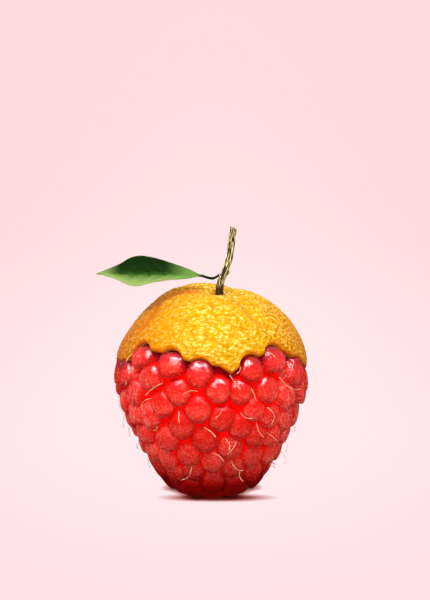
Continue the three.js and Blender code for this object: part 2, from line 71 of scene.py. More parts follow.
# Drupelets, ring by ring from under the peel to the underside: height and number in the ring, by
# what share of a step the ring is turned, which sets it between the drupelets of its neighbours at
# the back, how much it follows the wave of the top one, and how much it ripples
RINGS = [(19.6, 19, 0.0, 1, 0.3), (16.8, 19, 0.5, 0.5, 0.6), (14.1, 19, 0.0, 0.2, 1),
         (11.45, 18, 0.0, 0, 1), (8.9, 17, 0.0, 0, 1), (6.4, 15, 0.4, 0, 1), (4, 13, 0.9, 0, 0.7),
         (1.7, 10, 0.8, 0, 0.2)]
UNDERSIDE_RING = {"radius": 4.5, "count": 6}
HIDDEN_RINGS = [(24.8, 14), (27.6, 9)]  # flesh in the peel
TOP_RING_WAVE = [(-90, 17.9), (-75, 19), (-64, 19.5), (-52, 21.2), (-33, 21.8), (-14, 20.9),
                 (12, 20.2), (30, 21.2), (45, 22), (58, 20.6), (72, 18.6), (90, 17.9), (122, 19.9),
                 (148, 18.8), (174, 20.3), (200, 19.2), (228, 20.4), (252, 18.5)]  # (degrees, height)
FIRST_ANGLE = -8.2 * DEGREE
CROWN_SAG = {"most": 0.3, "depth": 2}  # how far a crown leans down the berry, and to what depth
RIPPLE = {"folds": 9, "angle": 20 * DEGREE, "height": 0.55}  # staggers the drupelets of a ring
JITTER = {"angle": 0.075, "height": 0.55}  # how far chance moves a ring's drupelets
# The front's drupelets, which the rings' ones give way to, as (across, up) from the middle of the
# fruit's foot, seen from the camera
FRONT_DRUPELETS = [(-10.5, 19.9), (-9.5, 16.9), (-13, 17.2), (-12.2, 14.4), (-6.2, 18.8), (-1.8, 17.3),
                   (-5.2, 14.4), (-7.8, 12.5), (-9.7, 10.7), (-11.8, 11.1), (-4.8, 9.2), (-2.1, 11.7),
                   (-7.1, 7.2), (-10.6, 8.2), (-1, 7), (-3.6, 4.8), (-7, 4.3), (-9.3, 5.7), (-5.8, 2.2),
                   (-3, 2.5), (0.2, 3.7), (0.2, 0.9), (-3.2, 0.4), (1.2, 14.8), (4.6, 14.5), (6.1, 18),
                   (9.5, 19.6), (12.7, 17.7), (8.7, 14.8), (11.7, 13.9), (13.7, 15.1), (6.7, 11.7),
                   (9.2, 10.7), (11.5, 10.4), (1.7, 10.4), (4.6, 9.1), (7.1, 7.8), (9.5, 7.8),
                   (11.4, 8.4), (3, 5.9), (6.5, 4.7), (9.2, 5.3), (3.6, 3.1), (6.7, 2.3), (3.9, 0.6)]
SPACING = {"drupelet": 3.1, "hidden": 2}  # from a ring's drupelet to the nearest of the front
HIDDEN_RISE = 1.6  # how far the flesh behind a tooth is above its place in the ring
POLE_CELL_RADIUS = 1.75
UNDERSIDE_MIDDLE = (0.35, 0.2, 0)

PEEL = 1.4  # thickness
GAP = 0.3  # between the peel and the flesh
EDGE_RISE = 0.85  # the peel's edge between two drupelets, above their centres
TEETH = (12 * DEGREE, 200.5 * DEGREE)  # where a drupelet is missing and a tooth of peel hangs
TOOTH = {"drop": 1.1, "half_width": 7 * DEGREE, "pull": 2.4 * DEGREE, "slot": 24 * DEGREE}
LUMPS = [(-5.5, 1.5, 3.5, 0.6), (-1.5, 4.5, 4, 0.75), (6.5, 1, 3, 0.15), (12, -2, 4, -0.45),
         (-11.5, -1, 5, -0.8)]  # x, y, reach, rise
GROOVES = (-58 * DEGREE, 40 * DEGREE, 142 * DEGREE, 236 * DEGREE)  # soft folds down from the navel
GROOVE = {"depth": 0.32, "width": 0.9, "start": 3, "end": 12, "rise": 1 / 3, "fall": 1 / 2}
RELIEF_FADE = {"start": 1, "full": 5}  # heights above the dome's foot
SOCKET = {"radius": 1.0, "depth": 0.85}  # for the twig's root

TWIG_PATH = [(1.13, -0.6, 28.45), (1.16, -0.6, 29.1), (1.22, -0.6, 30.3), (1.42, -0.58, 31.2),
             (1.95, -0.5, 32.6), (2.4, -0.45, 33.8), (2.72, -0.4, 35), (2.88, -0.3, 36.4),
             (3, -0.2, 37.5), (3.22, -0.1, 38.95)]
TWIG_RADII = [(0, 0.7), (0.09, 0.62), (0.2, 0.52), (0.45, 0.5), (0.7, 0.48), (1, 0.47)]
BUD = {"at": 0.43, "length": 0.035, "rise": 0.28}  # places are shares of the twig's path
CUSHION = {"at": 0.355, "length": 0.05, "rise": 0.12}  # where the leaf's stalk grows
CUT_SLANT = 0.22
ROOT_END = 0.06  # the bark is plain in the socket
LEAF_PATH = [(1.15, -0.6, 32.1), (0.62, -0.62, 31.75), (0.2, -0.66, 31.6), (-0.5, -0.72, 31.7),
             (-1.45, -0.8, 32.0), (-5.5, -1.0, 32.2), (-11, -1.3, 32.25), (-16.7, -1.6, 32.5)]
BLADE_START = 0.172  # share of the leaf's path that is stalk
# (share of the blade, half width)
BLADE_HALF_WIDTHS = [(0, 0.3), (0.1, 0.95), (0.2, 1.6), (0.35, 2.4), (0.48, 2.9), (0.6, 3.1),
                     (0.69, 2.7), (0.78, 1.75), (0.88, 0.9), (1, 0.12)]
BLADE_SPREAD = 0.82  # how much of its width shows from above
FAR_CLIMB = 0.78  # slope of the blade's far half
NEAR_FALL = 0.44  # slope of its near half
NEAR_CURL = {"at": 0.33, "length": 0.2, "rise": 0.2}  # the near margin turns up here

# ---- Sizes of the finer forms -------------------------------------------------------------

DOME = {"reach": 2.62, "depth": 3.2}  # where two drupelets meet
OWN_DOME = {"share": 0.93, "depth": 1.45, "fullness": 2.5}  # of each drupelet
HEAD = {"follow": 0.35, "start": -0.2}  # above its middle a drupelet's outline follows its border
HIDE_FADE = 0.4  # a drupelet's own dome is gone this near to the flesh in the peel
FLAT_FOOT = {"height": 3.2, "share": 0.6}  # the drupelets are pressed flat below this height
CROWN_UNEVEN = 0.2  # the most that one drupelet's crown sits below the others
CROWN_TILT = 0.13  # how much a drupelet leans out at its foot and back at its head
TOP_SWELL = {"rise": 0.42, "near": 4.2, "fade": 1.8}  # the drupelets next to the peel swell past it
USUAL_REACH = 1.8  # a drupelet's radius, for the borders, which belong to two
SEEN = {"out": 1.4, "border": 1.15, "under": 8}  # limits of what the skin's material is told
BORDER_STEP = 0.28
CELL_RINGS = (0.965, 0.92, 0.86, 0.79, 0.71, 0.62, 0.52, 0.41, 0.29, 0.16)
FLESH_RINGS = (0.66, 0.33)  # for the cells that the peel hides
WELD = 0.16  # corners of neighbouring cells this close are one corner
SAME = 1e-6  # places this close are one place

EDGE_REACH = 1.98  # the peel's edge keeps this far from a drupelet's centre
LIP = {"depth": 0.5, "width": 0.6, "fullness": 2.2}  # the peel's edge rolls in onto the drupelets
# The band along the peel's edge is painted shade on its rolled edge
RIM_SHADE_WIDTH = 0.9  # of the tinted band along the edge
INSIDE = {"off_flesh": 0.08, "behind_lip": 0.04}  # gaps of the peel's inner face
INSIDE_ROWS = (0.86, 0.6, 0.3, 0.12, 0.07, 0.04, 0.02, 0.01, 0.004)  # shares of the way to the top
OUTSIDE_ROWS = 142
ROW_CROWDING = 1.25  # the rows are closer near the edge
PEEL_COLUMNS = 640
PEBBLE = {"pitch": 0.5, "height": 0.24, "level": 0.6, "fade": 1.2, "end": 0.75}  # the oil glands
# Wrinkles: how much longer than a pebble they are, along x, y and z, how far and how often they
# wander, the pebbles on them, and where they are on the front
WRINKLE = {"stretch": (1.5, 1.2, 0.85), "wander": 0.9, "wander_pitch": 1.3, "fine": 0.6,
           "fine_share": 0.3, "height": 25, "reach": (7, 5), "strength": 1.5}
# Creases of the peel that show from the front, as (across, up) seen from the camera, with depth
# and width, and how strongly painted shade darkens them
CREASES = [([(-6.4, 29.3), (-8.0, 27.8), (-9.3, 25.8), (-10.4, 24.3)], 0.3, 1.2, 0.75),
           ([(4.6, 27.6), (5.4, 26.4), (6.4, 25.0), (7.7, 24.1)], 0.3, 0.6, 0.4)]

STYLE = {"radius": 0.04, "taper": (1.25, 0.8), "knob": 2.1, "knob_start": 0.84, "knob_end": 0.6,
         "bend": 0.55, "arch": 0.62 * math.pi, "sunk": 0.15, "deepest": 0.5, "off_floor": 0.3,
         "off_axis": (0.31, 0.2, 0.93), "sides": 5, "steps": 9}
TWIG_GRID = (170, 72)
# Bark: how high its long plates, lumps and fine grain are, how far apart and how squeezed, and its
# ribs (height, how many, radians that they wind along the twig). They are laid on a round post of
# this radius and length.
BARK = {"plates": 0.11, "plate_pitch": 0.62, "plate_squeeze": (1.25, 1.25, 0.62), "plate_level": 0.65,
        "lumps": 0.05, "lump_pitch": 0.9, "grain": 0.03, "grain_pitch": 0.5,
        "grain_squeeze": (3, 3, 1.2), "ribs": ((0.035, 4, 7), (0.025, 2, -23)),
        "radius": 2.2, "length": 9, "shift": 0.35, "start": 0.02}
CUT = {"start": 0.94, "splinters": 0.16, "splinter_turn": 3.2, "inset": 0.55, "dip": 0.12}
LEAF_GRID = (230, 44)
LEAF = {"half_thickness": 0.12, "stalk_radius": 0.2, "joint": 0.06, "tip_taper": 0.12, "tip_share": 0.4,
        "veins": 15, "vein_slant": 0.2, "vein_height": 0.05, "midrib_width": 0.16,
        "midrib_groove": 0.07, "midrib_ridge": 0.06, "waves": 11, "wave_height": 0.07,
        "fine_steps": 4000}
HASH = {"turn": 12.9898, "corner": (127.1, 311.7, 74.7), "scale": 43758.5453}  # make chance numbers
SEEDS = {"ring": 40, "height": 500, "tone": 900, "uneven": 950, "style": 1000, "heading": 1100,
         "length": 1200, "aside": 1300, "above": 1400, "lift": 1500, "bend": 1600,
         "front_lift": 3000, "splinter": 40}


# ---- Small mathematics --------------------------------------------------------------------

def chance(seed):
    """A repeatable number from 0 to 1 for each whole number: the fraction of a large sine."""
    return np.mod(np.sin(np.asarray(seed, float) * HASH["turn"]) * HASH["scale"], 1)


def smooth(x):
    """Rises from 0 to 1 as x does, level at both ends: x squared times (3 - 2x)."""
    x = np.clip(x, 0, 1)
    return x * x * (3 - 2 * x)


def blend(a, b, share):
    """A straight mix from a to b."""
    return a + (b - a) * share


def turn_between(a, b):
    """The turn from angle b to angle a, between minus and plus half a turn."""
    return np.mod(a - b + math.pi, TURN) - math.pi


def length_along(line):
    """How far along a line each of its points is."""
    return np.concatenate([[0], np.cumsum(np.linalg.norm(np.diff(line, axis=0), axis=1))])


def cubic(start, end, leaving, arriving, t):
    """The cubic from start to end as t goes from 0 to 1, with the slopes it leaves and arrives by."""
    return (start + leaving * t + (3 * (end - start) - 2 * leaving - arriving) * t**2
            + (2 * (start - end) + leaving + arriving) * t**3)


def curve_through(table, x):
    """A smooth curve through (where, value) pairs: cubics whose slope at each pair is the mean of
    those of the straight lines to its neighbours, and which are level at both ends."""
    where, value = np.array(table, float).T
    x = np.clip(x, where[0], where[-1])
    i = np.clip(np.searchsorted(where, x, side="right") - 1, 0, len(where) - 2)
    straight = np.diff(value) / np.diff(where)
    slope = np.concatenate([[0], (straight[:-1] + straight[1:]) / 2, [0]])
    span = where[i + 1] - where[i]
    return cubic(value[i], value[i + 1], slope[i] * span, slope[i + 1] * span, (x - where[i]) / span)


def path_through(points, share):
    """A smooth path through points, at shares of its run of points: centripetal Catmull-Rom, where
    a stretch's time is the square root of its length and slopes come from both neighbours."""
    points = np.array(points, float)
    points = np.vstack([2 * points[0] - points[1], points, 2 * points[-1] - points[-2]])
    run = np.asarray(share) * (len(points) - 3)
    i = np.clip(np.floor(run).astype(int), 0, len(points) - 4)
    t = (run - i)[:, None]
    p0, p1, p2, p3 = (points[i + k] for k in range(4))
    d0, d1, d2 = (np.sqrt(np.linalg.norm(b - a, axis=1))[:, None]
                  for a, b in ((p0, p1), (p1, p2), (p2, p3)))
    leaving = d1 * ((p1 - p0) / d0 - (p2 - p0) / (d0 + d1) + (p2 - p1) / d1)
    arriving = d1 * ((p2 - p1) / d1 - (p3 - p1) / (d1 + d2) + (p3 - p2) / d2)
    return cubic(p1, p2, leaving, arriving, t)


def lattice_chance(corner, salt):
    """A repeatable number from 0 to 1 for each corner of a lattice."""
    return np.mod(np.sin(corner @ np.array(HASH["corner"]) + salt) * HASH["scale"], 1)


def pebbles(points, pitch):
    """Rounded pebbles packed in space: 1 on a pebble's middle and falling to 0 with the square of
    the distance from it, where the middles are the corners of a lattice, each moved at random."""
    cells = np.floor(points / pitch)
    nearest = np.full(len(points), np.inf)
    for step in np.ndindex(3, 3, 3):
        corner = cells + np.array(step) - 1
        middle = corner + np.stack([lattice_chance(corner, salt) for salt in (0.0, 19.2, 47.6)], 1)
        nearest = np.minimum(nearest, ((middle - points / pitch) ** 2).sum(1))
    return 1 - np.minimum(nearest / PEBBLE["end"], 1)


def soft_noise(points, pitch, salt=0.0):
    """Smooth noise from 0 to 1: the lattice's random numbers, mixed smoothly between corners."""
    cells = np.floor(points / pitch)
    inside = smooth(points / pitch - cells)
    total = np.zeros(len(points))
    for step in np.ndindex(2, 2, 2):
        step = np.array(step)
        weight = np.where(step == 1, inside, 1 - inside).prod(1)
        total += weight * lattice_chance(cells + step, salt)
    return total


# ---- The skin -----------------------------------------------------------------------------

def skin_table(steps=800, fine_steps=16000, least_radius=0.05):
    """The fruit's outline from pole to pole as columns. It passes the measured points up to the
    widest belt and then a superellipse, joined by uniform Catmull-Rom stretches, and is sampled
    at equal arc lengths s. v is the sum of each step over the radius there."""
    lift = np.radians(np.arange(0, 91, 10))
    across, up = (np.abs(share) ** (2 / DOME_FULLNESS) for share in (np.cos(lift), np.sin(lift)))
    dome = np.stack([DOME_RADIUS * across, DOME_FOOT + DOME_HEIGHT * up], 1)
    points = np.vstack([SIDE_OUTLINE, dome])
    points = np.vstack([points[:1], points, points[-1:]])
    run = np.linspace(0, len(points) - 3, fine_steps + 1)
    i = np.minimum(run.astype(int), len(points) - 4)
    t = (run - i)[:, None]
    p0, p1, p2, p3 = (points[i + k] for k in range(4))
    line = cubic(p1, p2, (p2 - p0) / 2, (p3 - p1) / 2, t)
    length = length_along(line)
    s = np.linspace(0, length[-1], steps + 1)
    radius, height = (np.interp(s, length, line[:, k]) for k in range(2))
    along = np.stack([np.gradient(radius, s), np.gradient(height, s)])
    along /= np.hypot(*along)
    keep = slice(1, steps)
    radius = np.maximum(radius[keep], least_radius)
    v = np.concatenate([[0], np.cumsum(s[1] / radius[1:])])
    return {"r": radius, "z": height[keep], "s": s[keep], "v": v,
            "along_r": along[0][keep], "along_z": along[1][keep]}


skin = skin_table()
SKIN_TOP = {key: column[-1:] for key, column in skin.items()}


def skin_where(key, radius, near_top):
    """A column of the skin at its first sample from the foot, or from the top, that is wider than
    a radius."""
    wide = np.flatnonzero(skin["r"] > radius)
    return skin[key][wide[-1 if near_top else 0]]


def on_skin(key, value):
    """The skin's columns where one of them reaches a value, straight between samples."""
    rising = np.maximum.accumulate(skin[key])
    return {name: np.interp(value, rising, column) for name, column in skin.items()}


def hollow(r):
    """The hollow round the twig, as an extra depth: a bell curve of the distance."""
    return NAVEL["dip"] * np.exp(-((r / NAVEL["width"]) ** 2))


def place(angle, at, depth, slide=0.0):
    """Points in space: the skin's point, moved inwards by the depth and down the skin by the slide,
    and turned to its angle. The top is pulled towards the navel, and nothing goes below the floor."""
    r = at["r"] - depth * at["along_z"] - slide * at["along_r"]
    z = at["z"] + depth * at["along_r"] - slide * at["along_z"]
    pull = np.where(z > DOME_FOOT, 1 - smooth(at["r"] / NAVEL["reach"]), 0)
    x = r * np.sin(angle) + pull * NAVEL["x"]
    y = -r * np.cos(angle) + pull * NAVEL["y"]
    return np.stack(np.broadcast_arrays(x, y, np.maximum(z, 0)), -1)


# ---- The drupelets' places ----------------------------------------------------------------

WAVE_TURNS = [(degrees + turn, height) for turn in (-360, 0, 360) for degrees, height in TOP_RING_WAVE]


def wave(angle):
    """The height of the top ring of drupelets round the fruit, which the peel's edge follows."""
    return curve_through(WAVE_TURNS, angle / DEGREE)


def lean(angle):
    """How far the top ring's drupelets on either side of a missing one turn into its slot."""
    total = np.zeros_like(angle)
    for tooth in TEETH:
        away = turn_between(tooth, angle)
        total += np.where(np.abs(away) < TOOTH["slot"], np.sign(away) * TOOTH["pull"], 0)
    return total


def seen_on_skin(across, up, rounds=40, guess=(2, 10), least=0.1):
    """The angle and height of the skin's point that the camera sees across and up from the middle
    of the fruit's foot, found by repeating: a height gives a radius, that gives how near the point
    is, and that the height. The guess is how much higher than up, and how much nearer than the
    fruit's axis, it is."""
    across, up = np.array(across, float), np.array(up, float)
    z, near = up + guess[0], guess[1]
    cos, sin = math.cos(CAMERA_ELEVATION), math.sin(CAMERA_ELEVATION)
    middle = AIM[2] * cos
    for _ in range(rounds):
        shrink = 1 - near / CAMERA_DISTANCE
        x = AIM[0] + (across - AIM[0]) * shrink
        y = -np.sqrt(np.maximum(on_skin("z", z)["r"] ** 2 - x**2, least))
        z = (middle + (up - middle) * shrink - y * sin) / cos
        near = (z - AIM[2]) * sin - y * cos
    return np.arctan2(x, -y), z


def drupelet_centres():
    """Every drupelet's angle and v, and whether the peel hides it. The front's have their own
    places. The rings' are evenly spaced, then moved by the top ring's wave, by a ripple and by
    chance, and give way to the front's."""
    angle, z = seen_on_skin(*zip(*FRONT_DRUPELETS))
    front = np.stack([angle, on_skin("z", z)["v"], 0 * z], 1)
    rows = [front]
    for ring, (height, count, phase, wave_share, ripple_share) in enumerate(RINGS):
        i = np.arange(count)
        seed = ring * SEEDS["ring"] + i
        regular = FIRST_ANGLE + (i + phase) * TURN / count
        angle = regular + JITTER["angle"] * (chance(seed + 1) - 0.5)
        if ring == 0:
            angle = angle + lean(regular)
        ripple = RIPPLE["height"] * np.cos(RIPPLE["folds"] * (angle - RIPPLE["angle"]))
        z = (height + (wave(angle) - RINGS[0][0]) * wave_share + ripple * ripple_share
             + JITTER["height"] * (chance(seed + SEEDS["height"]) - 0.5))
        away = np.min([np.abs(turn_between(regular, tooth)) for tooth in TEETH], axis=0)
        hidden = (away < math.pi / count) & (ring == 0)
        at = on_skin("z", z + HIDDEN_RISE * hidden)
        apart = at["r"] * np.hypot(turn_between(angle, front[:, :1]), at["v"] - front[:, 1:2])
        room = np.where(hidden, SPACING["hidden"], SPACING["drupelet"])
        rows.append(np.stack([angle, at["v"], hidden], 1)[(apart >= room).all(0)])
    others = [(skin_where("v", UNDERSIDE_RING["radius"], False), UNDERSIDE_RING["count"], 0, 0)]
    others += [(on_skin("z", height)["v"], count, ring / 2, 1)
               for ring, (height, count) in enumerate(HIDDEN_RINGS)]
    for v, count, phase, hidden in others:
        i = np.arange(count)
        rows.append(np.stack([(i + phase) * TURN / count, 0 * i + v, 0 * i + hidden], 1))
    return np.vstack(rows)


centres = drupelet_centres()
drupelets = centres[centres[:, 2] == 0]


def nearest_drupelet(angle, at):
    """The distance along the skin to the nearest drupelet's centre, and which drupelet it is."""
    nearest = np.where(at["s"] < UNDERSIDE_RING["radius"], at["s"], np.inf)
    which = np.full(nearest.shape, -1)
    for k, (centre_angle, centre_v, _) in enumerate(drupelets):
        distance = at["r"] * np.hypot(turn_between(angle, centre_angle), at["v"] - centre_v)
        which = np.where(distance < nearest, k, which)
        nearest = np.minimum(nearest, distance)
    return nearest, which


def berry_depth(at, nearest):
    """The berry's depth: a round dome over each drupelet, or the flesh under the peel."""
    inner = PEEL + GAP + np.where(at["z"] > DOME_FOOT, hollow(at["r"]), 0)
    dome = DOME["depth"] * (1 - np.sqrt(1 - np.minimum(nearest / DOME["reach"], 1) ** 2))
    return np.minimum(inner, dome)


def edge_v(angle):
    """The v of the peel's edge: arches over the drupelets, and between them a line that follows
    the top ring and drops to a point at each tooth."""
    line = wave(angle) + EDGE_RISE
    for tooth in TEETH:
        away = np.abs(turn_between(angle, tooth)) / TOOTH["half_width"]
        line = line - TOOTH["drop"] * np.maximum(0, 1 - away)
    edge = on_skin("z", line)["v"]
    for centre_angle, centre_v, _ in drupelets:
        across = turn_between(angle, centre_angle)
        span = EDGE_REACH / on_skin("v", centre_v)["r"]
        arch = np.sqrt(np.maximum(span**2 - across**2, 0))
        edge = np.where(np.abs(across) < span, np.maximum(edge, centre_v + arch), edge)
    return edge


# ---- Meshes -------------------------------------------------------------------------------

def make_object(name, points, faces, material):
    """An object from points in millimetres and a list of arrays of faces."""
    mesh = bpy.data.meshes.new(name)
    mesh.from_pydata((points * MM).tolist(), [], sum((group.tolist() for group in faces), []))
    mesh.polygons.foreach_set("use_smooth", np.ones(len(mesh.polygons), bool))
    mesh.materials.append(material)
    made = bpy.data.objects.new(name, mesh)
    bpy.context.collection.objects.link(made)
    return made


def make_piece(name, points, faces, material, replaces=None, attributes=None):
    """An object of the fruit, with its vertex attributes, riding on the root body."""
    piece = make_object(name, points, faces, material)
    for key, values in (attributes or {}).items():
        made = piece.data.attributes.new(key, "FLOAT", "POINT")
        made.data.foreach_set("value", values)
    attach(piece, "root")
    if replaces:
        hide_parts(replaces)


def tube_faces(rows, columns):
    """Quads over a grid of points whose rows are closed loops, for loops that run anticlockwise
    seen from the last row's end."""
    index = np.arange(rows * columns).reshape(rows, columns)
    right = np.roll(index, -1, axis=1)
    return np.stack([index[:-1], right[:-1], right[1:], index[1:]], -1).reshape(-1, 4)


def fan_faces(loop, tip):
    """Triangles from a closed loop of points to a tip."""
    return np.stack([loop, np.roll(loop, -1), np.full(len(loop), tip)], 1)


def capped_tube(grid, tips=None):
    """Points and faces of a closed tube: a grid of loops with a fan at each end, to its tip, or
    else to its middle."""
    rows, columns = grid.shape[:2]
    points = np.vstack([grid.reshape(-1, 3), *(tips or (grid[0].mean(0), grid[-1].mean(0)))])
    first, last = np.arange(columns), np.arange(columns) + (rows - 1) * columns
    return points, [tube_faces(rows, columns), fan_faces(first[::-1], rows * columns),
                    fan_faces(last, rows * columns + 1)]


# ---- The raspberry ------------------------------------------------------------------------

def cell_of(centre):
    """The part of the skin that is nearer to a centre than to any other, as corners of
    (angle from the centre, v): a wide band, cut along the line halfway to each neighbour."""
    low, high = (skin_where("v", POLE_CELL_RADIUS, near_top) for near_top in (False, True))
    cell = np.array([[-TURN, low], [TURN, low], [TURN, high], [-TURN, high]]) - [0, centre[1]]
    toward = np.concatenate([centres[:, :2] - centre[:2] + [turn, 0] for turn in (-TURN, 0, TURN)])
    distance = np.hypot(*toward.T)
    for other in np.argsort(distance):
        if distance[other] < SAME:
            continue
        if distance[other] / 2 > np.hypot(*cell.T).max():
            break
        side = cell @ toward[other] - distance[other] ** 2 / 2
        kept = []
        for p, q, a, b in zip(cell, np.roll(cell, -1, 0), side, np.roll(side, -1)):
            if a <= 0:
                kept.append(p)
            if (a < 0) != (b < 0) and a != b:
                kept.append(p + (q - p) * a / (a - b))
        cell = np.array(kept)
    return cell + [0, centre[1]], low, high


def berry_mesh():
    """The berry as one closed surface of drupelets. Each drupelet fills its cell: its border is
    shared with its neighbours, and smaller copies of it, closing on the crown, carry the dome.
    Gives places (angle, v, share of the way from crown to border, and the radius of a circle as
    large as the cell) and triangles."""
    corners, borders, places, triangles, poles = [], {}, [], [], {"low": [], "high": []}
    count = 0

    def add(angle, v, share, reach=USUAL_REACH):
        nonlocal count
        places.append(np.stack(np.broadcast_arrays(angle, v, share, reach), 1))
        count += len(places[-1])
        return np.arange(count - len(places[-1]), count)

    def corner_at(angle, v):
        r = on_skin("v", v)["r"]
        for k, (other_angle, other_v, _) in enumerate(corners):
            if r * math.hypot(turn_between(angle, other_angle), v - other_v) < WELD:
                return k
        corners.append((angle, v, add(np.array([angle]), v, 1)[0]))
        return len(corners) - 1

    def border(a, b):
        """The points from one corner up to the next one, shared by the cells on both sides."""
        key = (min(a, b), max(a, b))
        if key not in borders:
            (angle0, v0, first), (angle1, v1, last) = corners[key[0]], corners[key[1]]
            turn = turn_between(angle1, angle0)
            length = on_skin("v", (v0 + v1) / 2)["r"] * math.hypot(turn, v1 - v0)
            share = np.linspace(0, 1, max(1, math.ceil(length / BORDER_STEP)) + 1)
            angle, v = angle0 + turn * share, blend(v0, v1, share)
            middle = add(angle[1:-1], v[1:-1], 1) if len(share) > 2 else np.array([], int)
            index = np.concatenate([[first], middle, [last]]).astype(int)
            borders[key] = np.stack([index, angle, v], 1)
        return borders[key] if a < b else borders[key][::-1]

    for centre in centres:
        cell, low, high = cell_of(centre)
        after = np.roll(cell, -1, 0)
        area = abs((cell[:, 0] * after[:, 1] - after[:, 0] * cell[:, 1]).sum()) / 2
        reach = on_skin("v", centre[1])["r"] * math.sqrt(area / math.pi)
        loop = [corner_at(centre[0] + x, v) for x, v in cell]
        outer = []
        for a, b in zip(loop, loop[1:] + loop[:1]):
            if a == b:
                continue
            line = border(a, b)
            outer.append(line[:-1])
            for end, level in (("low", low), ("high", high)):
                if np.abs(line[:, 2] - level).max() < SAME:
                    poles[end].append(np.stack([line[1:, 0], line[:-1, 0]], 1))
        index, angle, v = np.concatenate(outer).T
        previous = index.astype(int)
        across, up = turn_between(angle, centre[0]), v - centre[1]
        for share in FLESH_RINGS if centre[2] else CELL_RINGS:
            ring = add(centre[0] + across * share, centre[1] + up * share, share, reach)
            after, after_previous = np.roll(ring, -1), np.roll(previous, -1)
            triangles.append(np.stack([previous, after_previous, after], 1))
            triangles.append(np.stack([previous, after, ring], 1))
            previous = ring
        crown = add(np.array([centre[0]]), centre[1], 0, reach)[0]
        triangles.append(fan_faces(previous, crown))
    for k, end in enumerate(("low", "high")):
        edges = np.concatenate(poles[end]).astype(int)
        triangles.append(np.column_stack([edges, np.full(len(edges), count + k)]))
    return np.concatenate(places), np.concatenate(triangles)


def raspberry(material):
    """The berry. At its border a drupelet has the depth of the domes that meet there, and within
    it that of its own globe, whose outline is round at the foot and follows the border at the
    head. Each crown is set back by chance, most at its middle, leans out at its foot, swells out
    next to the peel, and slides a little down the berry."""
    places, triangles = berry_mesh()
    angle, v, share, reach = places.T
    at = on_skin("v", v)
    nearest, which = nearest_drupelet(angle, at)
    on_one = which >= 0
    rise = at["r"] * (v - np.where(on_one, drupelets[which, 1], v))
    across = at["r"] * turn_between(angle, np.where(on_one, drupelets[which, 0], angle))
    out = blend(nearest / reach, share, HEAD["follow"] * smooth(rise / reach - HEAD["start"]))
    meeting = berry_depth(at, nearest)
    round_off = np.minimum(OWN_DOME["share"] * out, 1) ** OWN_DOME["fullness"]
    own = OWN_DOME["depth"] * (1 - np.sqrt(1 - round_off))
    shown = on_one * smooth((PEEL + GAP - meeting) / HIDE_FADE)
    depth = blend(meeting, own, shown * (1 - share**6))
    depth = depth * (1 - FLAT_FOOT["share"] * smooth(1 - at["z"] / FLAT_FOOT["height"]))
    tone = np.where(on_one, chance(which + SEEDS["tone"]), 0.5)
    uneven = CROWN_UNEVEN * chance(which + SEEDS["uneven"]) * (1 - share**2)
    tilt = CROWN_TILT * rise * (1 - share**4)
    centre_at = on_skin("v", drupelets[:, 1])
    to_edge = centre_at["r"] * (edge_v(drupelets[:, 0]) - drupelets[:, 1])
    near_peel = smooth((TOP_SWELL["near"] - to_edge) / TOP_SWELL["fade"])
    swell = TOP_SWELL["rise"] * near_peel[which] * (1 - share**6)
    depth = depth + shown * (uneven + tilt - swell)
    slide = CROWN_SAG["most"] * np.maximum(0, 1 - depth / CROWN_SAG["depth"])
    top = place(0, SKIN_TOP, PEEL + GAP + NAVEL["dip"])
    points = np.vstack([place(angle, at, depth, slide), UNDERSIDE_MIDDLE, top])

    under_edge = np.maximum(at["r"] * (edge_v(angle) - v), 0)
    attributes = {"out": np.where(share < 1, np.minimum(out, SEEN["out"]), SEEN["border"]), "rise": rise,
                  "across": across, "tone": tone, "under": np.minimum(under_edge, SEEN["under"])}
    attributes = {key: np.append(column, [1, 1]) for key, column in attributes.items()}
    make_piece("raspberry_skin", points, [triangles], material, "raspberry", attributes)


# Styles that show from the front: where each leaves its drupelet and where its knob is, as
# (across, up) seen from the camera, from the middle of the fruit's foot
FRONT_STYLES = [(-4.3, 19.1, -5.9, 17.4), (-7.5, 15.7, -9.3, 14.1), (-2.0, 14.4, -4.1, 14.1),
                (-9.2, 13.4, -10.0, 12.3), (-4.9, 11.4, -4.5, 10.3), (2.8, 16.9, 4.1, 14.9),
                (4.1, 18.7, 3.6, 17.2), (7.7, 20.4, 9.0, 19.4), (10.4, 16.6, 12.8, 15.0),
                (4.4, 11.3, 5.9, 10.9), (8.6, 12.0, 8.5, 9.9), (1.6, 11.6, 0.6, 10.9),
                (-1.1, 9.0, 0.6, 8.1), (3.8, 6.9, 2.2, 5.6), (2.1, 7.3, 2.4, 6.2), (6.9, 9.7, 7.4, 8.1),
                (8.4, 8.3, 9.5, 6.9), (-0.1, 5.2, 1.8, 4.4), (2.9, 4.1, 4.4, 3.3), (-3.0, 3.6, -4.2, 2.0),
                (4.2, 2.8, 4.4, 1.8), (9.4, 4.0, 8.2, 4.3), (-9.0, 8.8, -7.7, 9.6),
                (6.0, 15.0, 6.3, 13.3), (-10.9, 20.6, -12.1, 18.9), (-9.0, 20.1, -11.3, 17.1)]
# Round the rest of the fruit, from an angle on and between two heights, on a share of the drupelets
MORE_STYLES = {"from": 62 * DEGREE, "lowest": 2.5, "highest": 19, "share": 0.8, "spread": 2.6,
               "lengths": (0.9, 2.2), "off_crown": (0.5, 0.4)}
# How far a knob stands off the skin: at least, and by chance. On the fruit's narrower part, which
# starts at a height and is full at a depth below it, by more.
KNOB_LIFT = {"front": (0.35, 0.3), "more": (0.3, 0.25), "narrow": 1.5, "start": 13, "full": 6}


